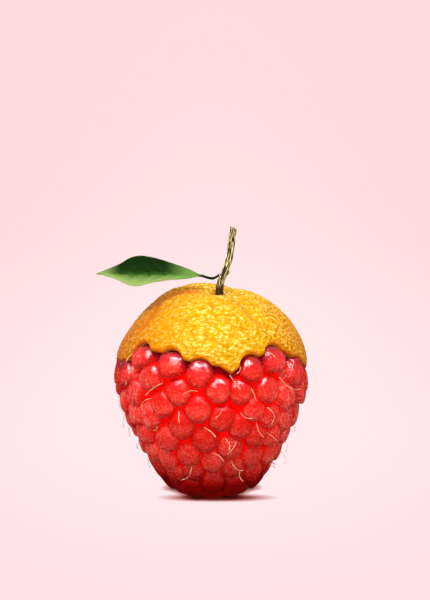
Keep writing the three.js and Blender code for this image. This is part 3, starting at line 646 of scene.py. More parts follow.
def style_ends():
    """Each style's root and knob as (angle, v), and how far the knob stands off the skin."""
    front = np.array(FRONT_STYLES)
    roots, knobs = (np.stack([angle, on_skin("z", z)["v"]], 1)
                    for angle, z in (seen_on_skin(*end) for end in (front.T[:2], front.T[2:])))
    least, more = KNOB_LIFT["front"]
    lift = least + more * chance(np.arange(len(front)) + SEEDS["front_lift"])

    k = np.arange(len(drupelets))
    angle, v, _ = drupelets.T
    z = on_skin("v", v)["z"]
    chosen = (np.abs(turn_between(angle, 0)) > MORE_STYLES["from"]) & (z > MORE_STYLES["lowest"])
    chosen &= (z < MORE_STYLES["highest"]) & (chance(k + SEEDS["style"]) < MORE_STYLES["share"])
    k, angle, v, z = k[chosen], angle[chosen], v[chosen], z[chosen]
    r = on_skin("v", v)["r"]
    heading = (chance(k + SEEDS["heading"]) - 0.5) * MORE_STYLES["spread"]
    length = blend(*MORE_STYLES["lengths"], chance(k + SEEDS["length"]))
    aside = MORE_STYLES["off_crown"][0] * (chance(k + SEEDS["aside"]) - 0.5) / r
    above = MORE_STYLES["off_crown"][1] * (chance(k + SEEDS["above"]) - 0.2) / r
    more_roots = np.stack([angle + aside, v + above], 1)
    more_knobs = more_roots + (length / r)[:, None] * np.stack([np.sin(heading), -np.cos(heading)], 1)
    narrow = smooth((KNOB_LIFT["start"] - z) / KNOB_LIFT["full"])
    least, more = KNOB_LIFT["more"]
    more_lift = least + (more + KNOB_LIFT["narrow"] * narrow) * chance(k + SEEDS["lift"])
    return np.vstack([roots, more_roots]), np.vstack([knobs, more_knobs]), np.append(lift, more_lift)


def styles(material):
    """The dried threads that grow from the drupelets: thin round tubes. A thread leaves the
    crown, arches off the skin towards its knob and bends a little sideways. Its tube widens into
    a bead at its end."""
    roots, knobs, lift = style_ends()
    count, steps, sides = len(roots), STYLE["steps"], STYLE["sides"]
    t = np.linspace(0, 1, steps)
    bend = STYLE["bend"] * (chance(np.arange(count) + SEEDS["bend"]) - 0.5)
    way = knobs - roots
    sideways = np.stack([-way[:, 1], way[:, 0]], 1) * bend[:, None]
    line = roots[:, None] + way[:, None] * t[:, None] + sideways[:, None] * (4 * t * (1 - t))[:, None]
    at = on_skin("v", line[..., 1])
    nearest, _ = nearest_drupelet(line[..., 0], at)
    ground = np.minimum(berry_depth(at, nearest), STYLE["deepest"])
    ground[:, 0] += STYLE["sunk"]
    above = lift[:, None] * np.sin(t * STYLE["arch"])
    middle = place(line[..., 0], at, ground * (1 - t) ** 0.5 - above)
    middle[..., 2] = np.maximum(middle[..., 2], STYLE["off_floor"])

    tangent = np.gradient(middle, axis=1)
    tangent /= np.linalg.norm(tangent, axis=2, keepdims=True)
    first = np.cross(tangent, STYLE["off_axis"])
    first /= np.linalg.norm(first, axis=2, keepdims=True)
    second = np.cross(tangent, first)
    bead = np.where(t > STYLE["knob_start"], STYLE["knob"], 1) * np.where(t == 1, STYLE["knob_end"], 1)
    radius = STYLE["radius"] * blend(*STYLE["taper"], t) * bead
    a = np.arange(sides) * TURN / sides
    around = first[:, :, None] * np.cos(a)[:, None] + second[:, :, None] * np.sin(a)[:, None]
    grid = middle[:, :, None] + around * radius[:, None, None]

    tube_points, tube = capped_tube(grid[0])
    points = np.concatenate([capped_tube(one)[0] for one in grid])
    offsets = np.arange(count) * len(tube_points)
    faces = [(group[None] + offsets[:, None, None]).reshape(-1, group.shape[1]) for group in tube]
    make_piece("styles", points, faces, material)


# ---- The peel -----------------------------------------------------------------------------

def peel_relief(angle, at):
    """How far the outside of the peel stands above the skin: bell-shaped lumps, less the folds
    that run down from the navel, fading out above the rim."""
    point = place(angle, at, 0.0)
    rise = 0.0
    for x, y, reach, height in LUMPS:
        away = np.hypot(point[..., 0] - x, point[..., 1] - y) / reach
        rise = rise + height * np.exp(-away * away)
    for groove in GROOVES:
        away = at["r"] * turn_between(angle, groove) / GROOVE["width"]
        along = (at["r"] - GROOVE["start"]) / (GROOVE["end"] - GROOVE["start"])
        strength = smooth(along / GROOVE["rise"]) * smooth((1 - along) / GROOVE["fall"])
        rise = rise - GROOVE["depth"] * strength * np.exp(-away * away)
    return rise * smooth((at["z"] - DOME_FOOT - RELIEF_FADE["start"]) / RELIEF_FADE["full"])


def crease_at(points):
    """How deep the front's creases are at points, and how much painted shade darkens them: bell
    curves of the distance from each crease's line, which is straight between places on the skin."""
    depth, crease_shade = 0.0, 0.0
    for places, most, width, shade_strength in CREASES:
        angle, z = seen_on_skin(*zip(*places))
        line = place(angle, on_skin("z", z), 0.0)
        nearest = np.inf
        for a, b in zip(line[:-1], line[1:]):
            share = np.clip((points - a) @ (b - a) / ((b - a) @ (b - a)), 0, 1)
            away = np.linalg.norm(points - a - share[..., None] * (b - a), axis=-1)
            nearest = np.minimum(nearest, away)
        bell = np.exp(-((nearest / width) ** 2))
        depth, crease_shade = depth + most * bell, crease_shade + shade_strength * bell
    return depth, crease_shade


def zest(points):
    """The zest's surface, 0 in a pit and 1 on a pebble: packed pebbles, which on the front are
    drawn out sideways into wrinkles that wander, with smaller ones on them."""
    flat = points.reshape(-1, 3)
    round_ones = pebbles(flat, PEBBLE["pitch"])
    wander = np.stack([soft_noise(flat, WRINKLE["wander_pitch"], salt) - 0.5 for salt in (1, 2, 3)], 1)
    long_ones = pebbles((flat + WRINKLE["wander"] * wander) / WRINKLE["stretch"], PEBBLE["pitch"])
    fine_ones = pebbles(flat + 5, WRINKLE["fine"] * PEBBLE["pitch"])
    sideways, up = ((flat[:, [0, 2]] - [0, WRINKLE["height"]]) / WRINKLE["reach"]).T
    front = np.exp(-(sideways**2) - up**2) * (flat[:, 1] < 0)
    wrinkled = blend(long_ones, fine_ones, WRINKLE["fine_share"])
    mixed = blend(round_ones, wrinkled, smooth(WRINKLE["strength"] * front))
    return mixed.reshape(points.shape[:-1])


def peel(material):
    """The cap of peel as one closed shell: a grid of loops round the fruit that runs down its
    inside to the rim, and up its outside to the mouth of the twig's socket and down to its floor.
    The outside's depth is the hollow and the rolled-in lip, less the lumps and pebbles."""
    angle = np.arange(PEEL_COLUMNS) * TURN / PEEL_COLUMNS
    edge = on_skin("v", edge_v(angle))["s"]
    mouth = skin_where("s", SOCKET["radius"], True)

    share = np.linspace(0, 1, OUTSIDE_ROWS)[:, None] ** ROW_CROWDING
    s = edge + (mouth - edge) * share
    at = on_skin("s", s)
    from_edge = (s - edge) / LIP["width"]
    lip = LIP["depth"] * (1 - np.sqrt(1 - np.clip(1 - from_edge, 0, 1) ** LIP["fullness"]))
    # The creases are cut in here, and their painted shade goes to the material
    creased, crease_shade = crease_at(place(angle, at, 0.0))
    smooth_depth = hollow(at["r"]) * smooth(2 * share) - peel_relief(angle, at) + lip + creased
    smooth_points = place(angle, at, smooth_depth)
    pebble = zest(smooth_points)
    fade = smooth(from_edge * PEBBLE["fade"]) * smooth((mouth - s) / PEBBLE["fade"])
    outside = place(angle, at, smooth_depth - PEBBLE["height"] * (pebble - PEBBLE["level"]) * fade)

    inner = on_skin("s", edge + (SKIN_TOP["s"] - edge) * np.array(INSIDE_ROWS)[:, None])
    nearest, _ = nearest_drupelet(angle, inner)
    depth = np.clip(berry_depth(inner, nearest) - INSIDE["off_flesh"],
                    LIP["depth"] + INSIDE["behind_lip"], PEEL + hollow(inner["r"]))
    inside = place(angle, inner, depth)

    floor_depth = hollow(0) + SOCKET["depth"]
    mouth_at = on_skin("s", np.full(PEEL_COLUMNS, mouth))
    sheets = (inside, outside, place(angle, mouth_at, floor_depth)[None])
    tips = [place(0.0, SKIN_TOP, depth) for depth in (PEEL + hollow(0), floor_depth)]
    points, faces = capped_tube(np.concatenate(sheets), tips)
    # Each attribute's value inside, outside and in the socket
    columns = {"pebble": (0.5, pebble, 0.2), "pith": (1, 0, 0), "fold_shade": (0, crease_shade, 0),
               "rim": (0, np.exp(-((s - edge) / RIM_SHADE_WIDTH) ** 2), 0)}
    attributes = {}
    for key, parts in columns.items():
        parts = [np.broadcast_to(part, sheet.shape[:-1]) for part, sheet in zip(parts, sheets)]
        column = np.concatenate(parts).ravel()
        attributes[key] = np.append(column, column[[0, -1]])
    make_piece("zest_cap", points, faces, material, "orange_peel", attributes)


# ---- The twig and the leaf ----------------------------------------------------------------

def bump(t, shape):
    """A bell curve of the place along a path."""
    return shape["rise"] * np.exp(-(((t - shape["at"]) / shape["length"]) ** 2))


def twig(material):
    """The cut twig: a round tube along its path whose radius is the table's, plus long plates of
    bark with cracks between them, winding ribs, the bud on its right and the leaf's cushion on its
    left. Its top is cut askew and splintered, and sunk in its middle."""
    rows, columns = TWIG_GRID
    t = np.linspace(0, 1, rows)[:, None]
    a = np.arange(columns) * TURN / columns
    middle = path_through(TWIG_PATH, t[:, 0])
    radius = curve_through(TWIG_RADII, t)
    around = (np.cos(a) * BARK["radius"], np.sin(a) * BARK["radius"], t * BARK["length"])
    around = np.stack(np.broadcast_arrays(*around), -1).reshape(-1, 3)
    lumps = soft_noise(around, BARK["lump_pitch"], 3.0)
    shifted = around * BARK["plate_squeeze"] + BARK["shift"] * (lumps[:, None] - 0.5)
    plates = pebbles(shifted, BARK["plate_pitch"]).reshape(rows, columns)
    lumps = lumps.reshape(rows, columns)
    grain = soft_noise(around * BARK["grain_squeeze"], BARK["grain_pitch"], 8.0).reshape(rows, columns)
    ribs = sum(rise * np.cos(count * a + winds * t) for rise, count, winds in BARK["ribs"])
    bark = (ribs + BARK["plates"] * (plates - BARK["plate_level"]) + BARK["grain"] * (grain - 0.5)
            + BARK["lumps"] * (lumps - 0.5))
    bud = bump(t, BUD) * np.maximum(0, np.cos(a)) ** 3
    cushion = bump(t, CUSHION) * np.maximum(0, -np.cos(a))
    r = radius + smooth((t - BARK["start"]) / ROOT_END) * bark + np.where(t > ROOT_END, bud + cushion, 0)
    splinters = CUT["splinters"] * (chance(np.round(a * CUT["splinter_turn"]) + SEEDS["splinter"]) - 0.5)
    slant = smooth((t - CUT["start"]) / (1 - CUT["start"])) * (-CUT_SLANT * np.cos(a) + splinters)
    grid = middle[:, None] + np.stack([r * np.cos(a), r * np.sin(a), slant + 0 * r], -1)
    inset = blend(grid[-1].mean(0), grid[-1], CUT["inset"]) - [0, 0, CUT["dip"]]
    grid = np.concatenate([grid, inset[None]])
    points, faces = capped_tube(grid)
    # Each attribute, its value round the sunk cut, and its values at the tips
    values = {"plates": (plates, 0.9, [0.5, 0.9]), "along": (t + 0 * a, 1.1, [0, 1.15])}
    attributes = {key: np.concatenate([part.ravel(), np.full(columns, sunk), tips])
                  for key, (part, sunk, tips) in values.items()}
    make_piece("bark_twig", points, faces, material, "twig", attributes)


def blade_rise(q, width, blade):
    """How a point of the blade stands above its middle line: the far half climbs in a straight
    line, and the near half falls and then turns up again at its margin."""
    near = width * (NEAR_FALL * q + bump(blade, NEAR_CURL) * q**4)
    return np.where(q > 0, FAR_CLIMB * width * q, near)


def leaf(material):
    """The leaf from the foot of its stalk to its tip, as a closed thin shell: the upper face from
    the near margin to the far one, and the lower face back. q is the place across, -1 at the near
    margin, 1 at the far one. The midrib is a groove above and a ridge below, and side veins lift
    the blade between them."""
    rows, half = LEAF_GRID
    line = path_through(LEAF_PATH, np.linspace(0, 1, LEAF["fine_steps"] + 1))
    length = length_along(line)
    station = np.linspace(0, 1, rows)
    middle = np.stack([np.interp(station * length[-1], length, line[:, k]) for k in range(3)], 1)
    station = station[:, None]
    blade = (station - BLADE_START) / (1 - BLADE_START)
    blade_share = smooth((station - BLADE_START) / LEAF["joint"] + 0.5)
    width = curve_through(BLADE_HALF_WIDTHS, np.maximum(0, blade))
    width = blend(LEAF["stalk_radius"], width, blade_share)
    i = np.arange(2 * half)
    q = np.abs(2 * i / half - 2) - 1
    face = np.where(i < half, -1.0, 1.0)
    rounded = np.sqrt(np.clip(1 - q * q, 0, 1))
    taper = blend(LEAF["tip_share"], 1, smooth((1 - blade) / LEAF["tip_taper"]))
    blade_thick = LEAF["half_thickness"] * taper * (1 - q**8)
    thick = blend(LEAF["stalk_radius"] * rounded, blade_thick, blade_share)
    across = width * q * blend(1, BLADE_SPREAD, blade_share)
    full = np.minimum(1, width / 2)
    vein_phase = LEAF["veins"] * (blade - LEAF["vein_slant"] * np.abs(q)) * math.pi
    veins = LEAF["vein_height"] * np.cos(vein_phase) * (1 - q**2) * full
    waves = LEAF["wave_height"] * np.sin(LEAF["waves"] * blade + 2 * np.sign(q)) * q**2 * full
    midrib = np.exp(-((q * width / LEAF["midrib_width"]) ** 2))
    up = (blade_rise(q, width, blade) + veins + waves - LEAF["midrib_groove"] * midrib) * blade_share
    up = up + face * thick - LEAF["midrib_ridge"] * midrib * (face < 0) * blade_share
    grid = middle[:, None] + np.stack([0 * across, across, up], -1)
    points, faces = capped_tube(grid)
    # Each attribute, and its values at the stalk's foot and at the tip
    columns = {"blade": (blade, [0, 1]), "q": (q, [0, 0]), "upper": (face, [0, 1]),
               "stalk": (1 - blade_share, [1, 0])}
    attributes = {key: np.append(np.broadcast_to(part, across.shape).ravel(), ends)
                  for key, (part, ends) in columns.items()}
    make_piece("leaf_blade", points, faces, material, "leaf", attributes)


# ---- Materials ----------------------------------------------------------------------------

COLOURS = {"data_type": "RGBA", "out": 2}  # a Mix node's share is its input 0, its colours 6 and 7
SOFTLY = {"interpolation_type": "SMOOTHSTEP"}
TIMES = {"operation": "MULTIPLY"}
UNSIGNED = {"operation": "ABSOLUTE"}


def colour(code):
    """An sRGB hex colour as linear numbers: each channel over 1.055 and to the power 2.4 above
    the straight foot of the curve."""
    channels = np.array([int(code[k:k + 2], 16) / 255 for k in (1, 3, 5)])
    linear = np.where(channels > 0.04045, ((channels + 0.055) / 1.055) ** 2.4, channels / 12.92)
    return (*linear, 1.0)


def add_node(tree, kind, inputs=(), out=0, stops=None, **settings):
    """Adds a node with its settings, and gives one of its outputs. Inputs are values or the
    outputs that are linked to them, in the node's order, or by their name or number. A Map
    Range's are its value, the two ends it comes from and the two it goes to, at first 0 and 1.
    Stops are a colour ramp's (place, colour)."""
    made = tree.nodes.new("ShaderNode" + kind)
    for name, value in settings.items():
        setattr(made, name, value)
    for name, value in inputs.items() if isinstance(inputs, dict) else enumerate(inputs):
        if isinstance(value, bpy.types.NodeSocket):
            tree.links.new(value, made.inputs[name])
        else:
            made.inputs[name].default_value = value
    if stops:
        elements = made.color_ramp.elements
        while len(elements) < len(stops):
            elements.new(0.5)
        for element, (where, code) in zip(elements, stops):
            element.position = where
            element.color = colour(code)
    return made.outputs[out] if len(made.outputs) else made


def material_of(surface):
    """A material with the name and the nodes of a function below, which is given the function
    that adds a node to it."""
    material = bpy.data.materials.new(surface.__name__)
    material.use_nodes = True
    material.node_tree.nodes.clear()
    add = partial(add_node, material.node_tree)
    add("OutputMaterial", (surface(add),))
    return material


def raspberry_skin(add):
    """Raspberry skin: thin, wet and full of juice, finely wrinkled, with a bloom of tiny hairs. To
    the eye, light sinks in and comes back a pure red from the creases, most in front; a painted red
    emission stands in for it. The bloom is paler, and partly a painted sheen. It lies on the crowns'
    lower halves, and at the sides and low down on whole crowns. The heads, the rims under the peel
    and the foot are wet and dark, and the rims, the foot and a ring low round each crown are darkened
    with painted shade."""
    out, rise, across, tone, under = (add("Attribute", out="Fac", attribute_name=name)
                                      for name in ("out", "rise", "across", "tone", "under"))
    here = add("TexCoord", out="Object")
    sideways, behind, height = (add("SeparateXYZ", (here,), out=axis) for axis in "XYZ")
    sideways = add("Math", (sideways,), **UNSIGNED)
    at_side = add("MapRange", (sideways, 7 * MM, 11 * MM), **SOFTLY)

    # Wrinkles lie across the front's drupelets, 0.5 mm apart, and run down the sides' ones. The
    # hairs are drawn 0.4 mm apart, coarser than they are, to show.
    own = add("Math", (tone, 40.0), **TIMES)
    on_drupelet = add("CombineXYZ", (across, rise, own))
    lying, upright = (add("Mapping", {0: on_drupelet, "Scale": scale})
                      for scale in ((0.8, 2.0, 1), (2.4, 0.4, 1)))
    wrinkles = add("Mix", {0: at_side, 4: lying, 5: upright}, out=1, data_type="VECTOR")
    wrinkles = add("TexNoise", {"Vector": wrinkles, "Scale": 1.0, "Detail": 3.0, "Distortion": 0.8})
    hairs = add("TexVoronoi", {"Vector": here, "Scale": 1 / (0.4 * MM)}, out="Distance")
    hairs = add("MapRange", (hairs, 0.6, 0.15), **SOFTLY)

    # Where the bloom is. It is partly real bloom and partly painted sheen: the crowns' lower halves face
    # the front light, and whole crowns are paler at the sides, as if the side lights gleamed on them
    low = add("MapRange", (rise, 1.4, -0.6, 0.1, 1.0), **SOFTLY)
    near_foot = add("MapRange", (height, 15 * MM, 8 * MM, 0, 0.85), **SOFTLY)
    for part in (at_side, near_foot):
        low = add("Math", (low, part), operation="MAXIMUM")
    dry = add("MapRange", (under, 0.5, 5.0, 0.35, 1.0), **SOFTLY)
    gaps = add("MapRange", (at_side, 0, 1, 0.6, 0.3))
    lines = add("MapRange", (wrinkles, 0.43, 0.6, gaps, 1.0), **SOFTLY)
    specks = add("MapRange", (hairs, 0, 1, 0.3, 1.0))
    off_foot = add("MapRange", (height, 2 * MM, 5 * MM, 0.1))
    bloom = add("MapRange", (out, 1.02, 0.78), **SOFTLY)
    for part in (low, dry, lines, specks, off_foot):
        bloom = add("Math", (bloom, part), **TIMES)

    # Painted shade: a dark ring low round each crown, where its edge overhangs the one below; the foot,
    # darkened where the top light leaves it; and the shade under the peel
    ring = add("MapRange", (out, 0.88, 0.97), **SOFTLY)
    ring_end = add("MapRange", (out, 1.08, 0.98), **SOFTLY)
    ring_low = add("MapRange", (rise, 0.2, -1.2, 0.0, 0.7), **SOFTLY)
    for part in (ring_end, ring_low):
        ring = add("Math", (ring, part), **TIMES)
    # Painted shade: the foot is darker where the top light does not reach it
    foot = add("MapRange", (height, 5.4 * MM, 2.2 * MM))
    shaded = add("MapRange", (under, 1.6, 0.0, 0, 0.8), **SOFTLY)
    wet, pale = (add("Mix", {0: tone, 6: colour(dark), 7: colour(light)}, **COLOURS)
                 for dark, light in (("#D00705", "#E40C09"), ("#EA5644", "#F67A66")))
    # Painted sheen: the crowns at the sides are paler still, as if gleaming in the side lights
    pale = add("Mix", {0: at_side, 6: pale, 7: colour("#FC8E7C")}, **COLOURS)
    flesh = add("Mix", {0: bloom, 6: wet, 7: pale}, **COLOURS)
    for share, code in ((ring, "#9A0504"), (foot, "#900302"), (shaded, "#7E0A20")):
        flesh = add("Mix", {0: share, 6: flesh, 7: colour(code)}, **COLOURS)

    # Painted glow: an emission in the creases, stronger in front and higher up and gone under the peel,
    # stands in for the red light that comes back through the flesh
    lit = add("MapRange", (height, 1.5 * MM, 13 * MM, 0.1, 0.54))
    clear = add("MapRange", (under, 0.6, 2.2), **SOFTLY)
    front = add("MapRange", (behind, 1 * MM, -6 * MM, 0.2, 1.0))
    painted_glow = add("MapRange", (out, 0.8, 1.1), **SOFTLY)
    for part in (lit, clear, front):
        painted_glow = add("Math", (painted_glow, part), **TIMES)

    # The wet gloss of the open parts without bloom
    roughness = add("MapRange", (bloom, 0, 1, 0.22, 0.5))
    dull = add("MapRange", (under, 1.0, 7.0, 1.0, 0.2), **SOFTLY)
    open_part = add("MapRange", (out, 0.95, 0.75), **SOFTLY)
    wax = add("MapRange", (bloom, 0.0, 0.5, 1.0, 0.1))
    for part in (dull, open_part):
        wax = add("Math", (wax, part), **TIMES)
    relief = add("Bump", {"Height": wrinkles, "Strength": 0.6, "Distance": 0.16 * MM})
    relief = add("Bump", {"Height": hairs, "Normal": relief, "Strength": 0.35, "Distance": 0.06 * MM})
    return add("BsdfPrincipled", {
        "Base Color": flesh, "Roughness": roughness, "IOR": 1.4, "Specular IOR Level": 0.3,
        "Subsurface Weight": 0.7, "Subsurface Radius": (1.0, 0.12, 0.08), "Subsurface Scale": 1.3 * MM,
        "Emission Color": colour("#FF0401"), "Emission Strength": painted_glow,
        "Coat Weight": wax, "Coat Roughness": 0.14, "Coat IOR": 1.8,
        "Normal": relief, "Coat Normal": relief})


def dried_style(add):
    """A dried style: a stiff dead thread, pale gold and slightly shiny, with darker stretches
    about 1 mm long."""
    here = add("TexCoord", out="Object")
    patches = add("TexNoise", {"Vector": here, "Scale": 1 / (1.1 * MM)})
    tint = add("ValToRGB", (patches,), stops=[(0.35, "#DC9470"), (0.62, "#F8CCA2")])
    return add("BsdfPrincipled", {"Base Color": tint, "Roughness": 0.4, "IOR": 1.5})


def orange_zest(add):
    """Orange zest: a waxy rind packed with oil glands 0.5 mm apart, with a pith-coloured inside.
    Painted shade makes it darker and redder towards the sides, in its creases and along its rolled
    edge. The wax gives each pebble its own small yellow highlight. The hollows between the pebbles
    are browner with painted shade, and the pebbles' crowns are paler with a painted highlight, most
    in the middle of the front."""
    pebble, pith, rim, fold_shade = (add("Attribute", out="Fac", attribute_name=name)
                               for name in ("pebble", "pith", "rim", "fold_shade"))
    here = add("TexCoord", out="Object")
    sideways, height = (add("SeparateXYZ", (here,), out=axis) for axis in "XZ")
    sideways = add("Math", (sideways, 2.2 * MM), operation="SUBTRACT")
    sideways = add("Math", (sideways,), **UNSIGNED)
    patches = add("TexNoise", {"Vector": here, "Scale": 1 / (4 * MM), "Detail": 3.0})
    patches = add("MapRange", (patches, 0.35, 0.65), **SOFTLY)
    lower = add("MapRange", (height, 25.5 * MM, 18 * MM, 0, 0.8))
    # Painted shade: darker and redder towards the sides, where the front light falls off
    side_shade = add("MapRange", (sideways, 5 * MM, 16 * MM))
    # Painted shade in the hollows between the pebbles, and a painted highlight on their crowns, most in
    # the middle of the front
    pit_shade = add("MapRange", (pebble, 0.68, 0.25, 0, 0.9), **SOFTLY)
    central = add("MapRange", (sideways, 4 * MM, 10 * MM, 0.7, 0.3), **SOFTLY)
    top_highlight = add("MapRange", (pebble, 0.62, 1.0, 0, central), **SOFTLY)
    # Painted shade along the rolled edge of the peel
    rim_shade = add("MapRange", (rim, 0.5, 1.0, 0, 0.8), **SOFTLY)

    # Wrinkles wind between the glands as thin olive lines, where a noise passes its middle value
    drawn = add("Mapping", {0: here, "Scale": (1, 1, 1.6)})
    lines = add("TexNoise", {"Vector": drawn, "Scale": 1 / (0.9 * MM), "Detail": 1.0})
    lines = add("Math", (lines, 0.5), operation="SUBTRACT")
    lines = add("Math", (lines,), **UNSIGNED)
    lines = add("MapRange", (lines, 0.05, 0.0, 0, central), **SOFTLY)
    tint = colour("#D6A00C")
    # Painted shade darkens the creases, the sides, the hollows between the pebbles and the rolled edge,
    # and a painted highlight pales the pebbles' crowns
    for share, code in ((patches, "#D49606"), (lower, "#E08E04"), (side_shade, "#C05800"), (pit_shade, "#B07A06"),
                        (top_highlight, "#FAE08C"), (lines, "#987408"), (fold_shade, "#C46606"), (rim_shade, "#D06402"),
                        (pith, "#F6E7B8")):
        tint = add("Mix", {0: share, 6: tint, 7: colour(code)}, **COLOURS)
    pores = add("TexVoronoi", {"Vector": here, "Scale": 1 / (0.5 * MM)}, out="Distance")
    relief = add("Bump", {"Height": pores, "Strength": 0.5, "Distance": 0.08 * MM}, invert=True)
    return add("BsdfPrincipled", {
        "Base Color": tint, "Roughness": 0.22, "IOR": 1.45, "Specular IOR Level": 0.35,
        "Specular Tint": colour("#FFD468"), "Subsurface Weight": 0.2,
        "Subsurface Radius": (1.0, 0.5, 0.12), "Subsurface Scale": 0.25 * MM, "Normal": relief})


def twig_bark(add):
    """Young orange bark, dried: corky tan plates with dark cracks between them, streaked along
    its length every 0.3 mm, browner at the root. The cut end shows pale wood."""
    plates, along = (add("Attribute", out="Fac", attribute_name=name) for name in ("plates", "along"))
    here = add("TexCoord", out="Object")
    drawn = add("Mapping", {0: here, "Scale": (1, 1, 0.3)})
    streaks = add("TexNoise", {"Vector": drawn, "Scale": 1 / (0.28 * MM), "Detail": 4.0})
    tint = add("ValToRGB", (streaks,), stops=[(0.34, "#4A3A14"), (0.44, "#B8A662"), (0.57, "#EEE2A8")])
    cracks = add("MapRange", (plates, 0.82, 0.6))
    root = add("MapRange", (along, 0.36, 0.2, 0, 0.95))
    cut = add("MapRange", (along, 1.0, 1.08))
    for share, code in ((cracks, "#2E2008"), (root, "#2E1604"), (cut, "#D9C79A")):
        tint = add("Mix", {0: share, 6: tint, 7: colour(code)}, **COLOURS)
    relief = add("Bump", {"Height": streaks, "Strength": 0.8, "Distance": 0.1 * MM})
    return add("BsdfPrincipled", {
        "Base Color": tint, "Roughness": 0.72, "Specular IOR Level": 0.2, "Normal": relief})


def leaf_blade(add):
    """An orange leaf: a leathery blade with a waxed upper face. The far half is a deep green and the
    near half paler: painted shade and painted light, for the half turned from the light and the half
    facing it. The tip is paler, the lower face is pale and matt, and the stalk is nearly black. Fine
    veins streak it from rib to margin, about 0.3 mm apart."""
    blade, q, upper, stalk = (add("Attribute", out="Fac", attribute_name=name)
                              for name in ("blade", "q", "upper", "stalk"))
    drawn = add("CombineXYZ", (blade, q))
    drawn = add("Mapping", {0: drawn, "Scale": (40, 1.6, 1)})
    streaks = add("TexNoise", {"Vector": drawn, "Scale": 1.6, "Detail": 3.0})
    # Painted shade and light: the far half, q near 1, is dark as if turned from the light, and the near
    # half pale as if facing it
    slanted = add("Math", (streaks, 0.5, q), operation="MULTIPLY_ADD")
    slanted = add("MapRange", (slanted, -0.75, 1.25))
    tint = add("ValToRGB", (slanted,), stops=[
        (0.0, "#7C9650"), (0.3, "#5E7838"), (0.46, "#284E0E"), (0.56, "#0A2600"), (0.85, "#061E00")])
    tip = add("MapRange", (blade, 0.76, 0.98), **SOFTLY)
    young = add("MapRange", (blade, 0.36, 0.04), **SOFTLY)
    lower = add("MapRange", (upper, 0.5, -0.5))
    for share, code in ((tip, "#70894A"), (young, "#587A34"), (lower, "#BFD08E"), (stalk, "#101804")):
        tint = add("Mix", {0: share, 6: tint, 7: colour(code)}, **COLOURS)
    relief = add("Bump", {"Height": streaks, "Strength": 0.15, "Distance": 0.05 * MM})
    return add("BsdfPrincipled", {
        "Base Color": tint, "Roughness": 0.42, "Specular IOR Level": 0.06, "Subsurface Weight": 0.08,
        "Subsurface Radius": (0.3, 1.0, 0.2), "Subsurface Scale": 0.3 * MM, "Normal": relief})


def pink_card(add):
    """Pink card that gives its own even light: nearly white in front of the lens and pinker away
    from it, a painted pool of light round the fruit. Where the fruit stands a painted contact shadow
    makes a thin dark line, and a painted shadow a faint shade in front of it."""
    here = add("TexCoord", out="Object")
    x, y, z = (add("SeparateXYZ", (here,), out=axis) for axis in "XYZ")
    behind, before = (add("MapRange", (y, 50 * MM, end * MM), clamp=False) for end in (250, -25))
    along = add("Math", (behind, before), operation="MAXIMUM")
    across = add("Math", (x, 1 / (38 * MM)), **TIMES)
    up = add("Math", (z, 1 / (250 * MM)), **TIMES)
    far = add("CombineXYZ", (across, along, up))
    far = add("VectorMath", (far,), out="Value", operation="LENGTH")
    # Painted pool of light: the card is palest round the fruit and pinker away from it
    far = add("MapRange", (far, 0, 2.4))
    tint = add("ValToRGB", (far,), stops=[
        (0.0, "#FFEEEF"), (0.3, "#FFE9EB"), (0.58, "#FFE2E4"), (1.0, "#FFDADC")])
    # Painted contact shadow: a thin dark line where the fruit closes in the floor
    openness = add("AmbientOcclusion", {"Distance": 1.2 * MM}, out="AO", samples=16)
    line = add("ValToRGB", (openness,), stops=[(0.0, "#3A0606"), (0.45, "#D8A9A8"), (0.85, "#FFFFFF")])
    # Painted shadow: a faint dark ellipse just in front of the fruit's foot
    around = add("Mapping", {
        0: here, "Location": (-0.09, 2.1, 0), "Scale": (1 / (9 * MM), 1 / (2.6 * MM), 0)})
    around = add("VectorMath", (around,), out="Value", operation="LENGTH")
    shade = add("ValToRGB", (around,), stops=[
        (0.4, "#6A2A28"), (0.58, "#A06C6A"), (0.78, "#E2BEBC"), (1.0, "#FFFFFF")])
    for layer in (line, shade):
        tint = add("Mix", {0: 1.0, 6: tint, 7: layer}, blend_type="MULTIPLY", **COLOURS)
    return add("Emission", (tint,))


# ---- Stage and light ----------------------------------------------------------------------

BACKDROP = {"floor": 260.0, "wall": 620.0, "height": 1500.0, "floor_rings": 8, "bend_rings": 24,
            "columns": 96}
LIGHTS_AIM = 16.0  # height of the fruit's middle
# Azimuth (0 is the front, 90 the right-hand side) and elevation in degrees, distance, width,
# height, watts, and whether the box gleams on the fruit
SOFT_BOXES = {"left_key": (-34, 50, 320, 170, 120, 0.82, True),
              "right_key": (32, 52, 320, 120, 120, 0.6, True),
              "front": (0, 4, 480, 400, 300, 1.5, False),
              "top": (180, 72, 320, 200, 140, 0.5, False),
              "left_strip": (-118, -12, 260, 100, 200, 0.4, False),
              "right_strip": (118, -12, 260, 100, 200, 0.4, False)}


def backdrop():
    """A round floor that curves up into a wall, the same from all sides: the profile is level,
    then a quarter circle, then upright, turned about the fruit's axis. It throws no light back."""
    level, bend = BACKDROP["floor"], BACKDROP["wall"] - BACKDROP["floor"]
    flat = np.linspace(0.01, level, BACKDROP["floor_rings"])
    arc = np.linspace(0, math.pi / 2, BACKDROP["bend_rings"])[1:]
    radius = np.concatenate([flat, level + bend * np.sin(arc), [BACKDROP["wall"]]])[:, None]
    height = np.concatenate([0 * flat, bend * (1 - np.cos(arc)), [BACKDROP["height"]]])[:, None]
    a = np.arange(BACKDROP["columns"]) * TURN / BACKDROP["columns"]
    grid = np.stack([radius * np.cos(a), radius * np.sin(a), height + 0 * a], -1)
    faces = tube_faces(*grid.shape[:2])
    made = make_object("backdrop", grid.reshape(-1, 3), [faces], material_of(pink_card))
    made.visible_diffuse = made.visible_glossy = made.visible_transmission = made.visible_shadow = False


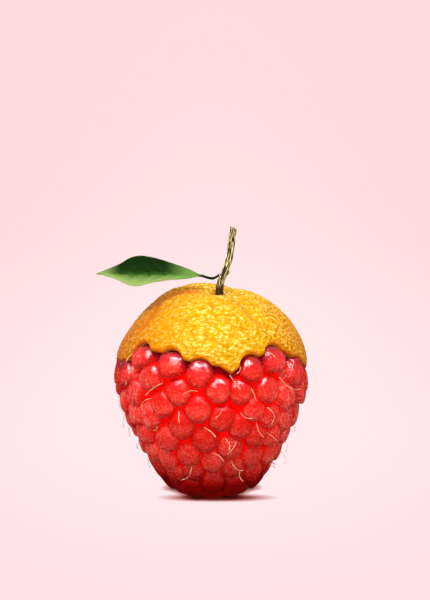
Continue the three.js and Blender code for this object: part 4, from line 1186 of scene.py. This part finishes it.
def soft_box(name, azimuth, elevation, distance, width, height, watts, gleams):
    """A rectangular soft box that faces the middle of the fruit."""
    light = bpy.data.lights.new(name, "AREA")
    light.shape = "RECTANGLE"
    light.size, light.size_y = width * MM, height * MM
    light.energy = watts
    turn, lift = azimuth * DEGREE, elevation * DEGREE
    way = Vector((math.sin(turn) * math.cos(lift), -math.cos(turn) * math.cos(lift), math.sin(lift)))
    made = bpy.data.objects.new(name, light)
    made.location = (Vector((0, 0, LIGHTS_AIM)) + way * distance) * MM
    made.rotation_euler = way.to_track_quat("Z", "Y").to_euler()
    made.visible_glossy = gleams
    bpy.context.collection.objects.link(made)


def lights():
    """Two soft boxes above and in front, which gleam on the fruit. A large one at the front, one
    above the back and a strip behind each side only fill its shades. The sky is pale, and dark
    below the floor."""
    for name, box in SOFT_BOXES.items():
        soft_box(name, *box)
    world = bpy.data.worlds.new("room")
    bpy.context.scene.world = world
    world.use_nodes = True
    world.node_tree.nodes.clear()
    add = partial(add_node, world.node_tree)
    way = add("TexCoord", out="Generated")
    up = add("SeparateXYZ", (way,), out="Z")
    lift = add("MapRange", (up, -0.15, 1.0, 0.02, 0.45))
    add("OutputWorld", (add("Background", (colour("#FFE9EA"), lift)),))


def camera():
    """The camera, on a long lens, with its frame upright."""
    lens = bpy.data.cameras.new("camera")
    lens.lens = LENS
    lens.sensor_fit = "VERTICAL"
    lens.sensor_height = FILM_HEIGHT
    lens.clip_start, lens.clip_end = 0.01, 10
    made = bpy.data.objects.new("camera", lens)
    back = Vector((0, -math.cos(CAMERA_ELEVATION), math.sin(CAMERA_ELEVATION)))
    made.location = (Vector(AIM) + back * CAMERA_DISTANCE) * MM
    made.rotation_euler = (math.pi / 2 - CAMERA_ELEVATION, 0, 0)
    bpy.context.collection.objects.link(made)
    bpy.context.scene.camera = made


camera()
backdrop()
lights()
for make, surface in ((raspberry, raspberry_skin), (styles, dried_style), (peel, orange_zest),
                      (twig, twig_bark), (leaf, leaf_blade)):
    make(material_of(surface))
bpy.context.scene.view_settings.view_transform = "Standard"
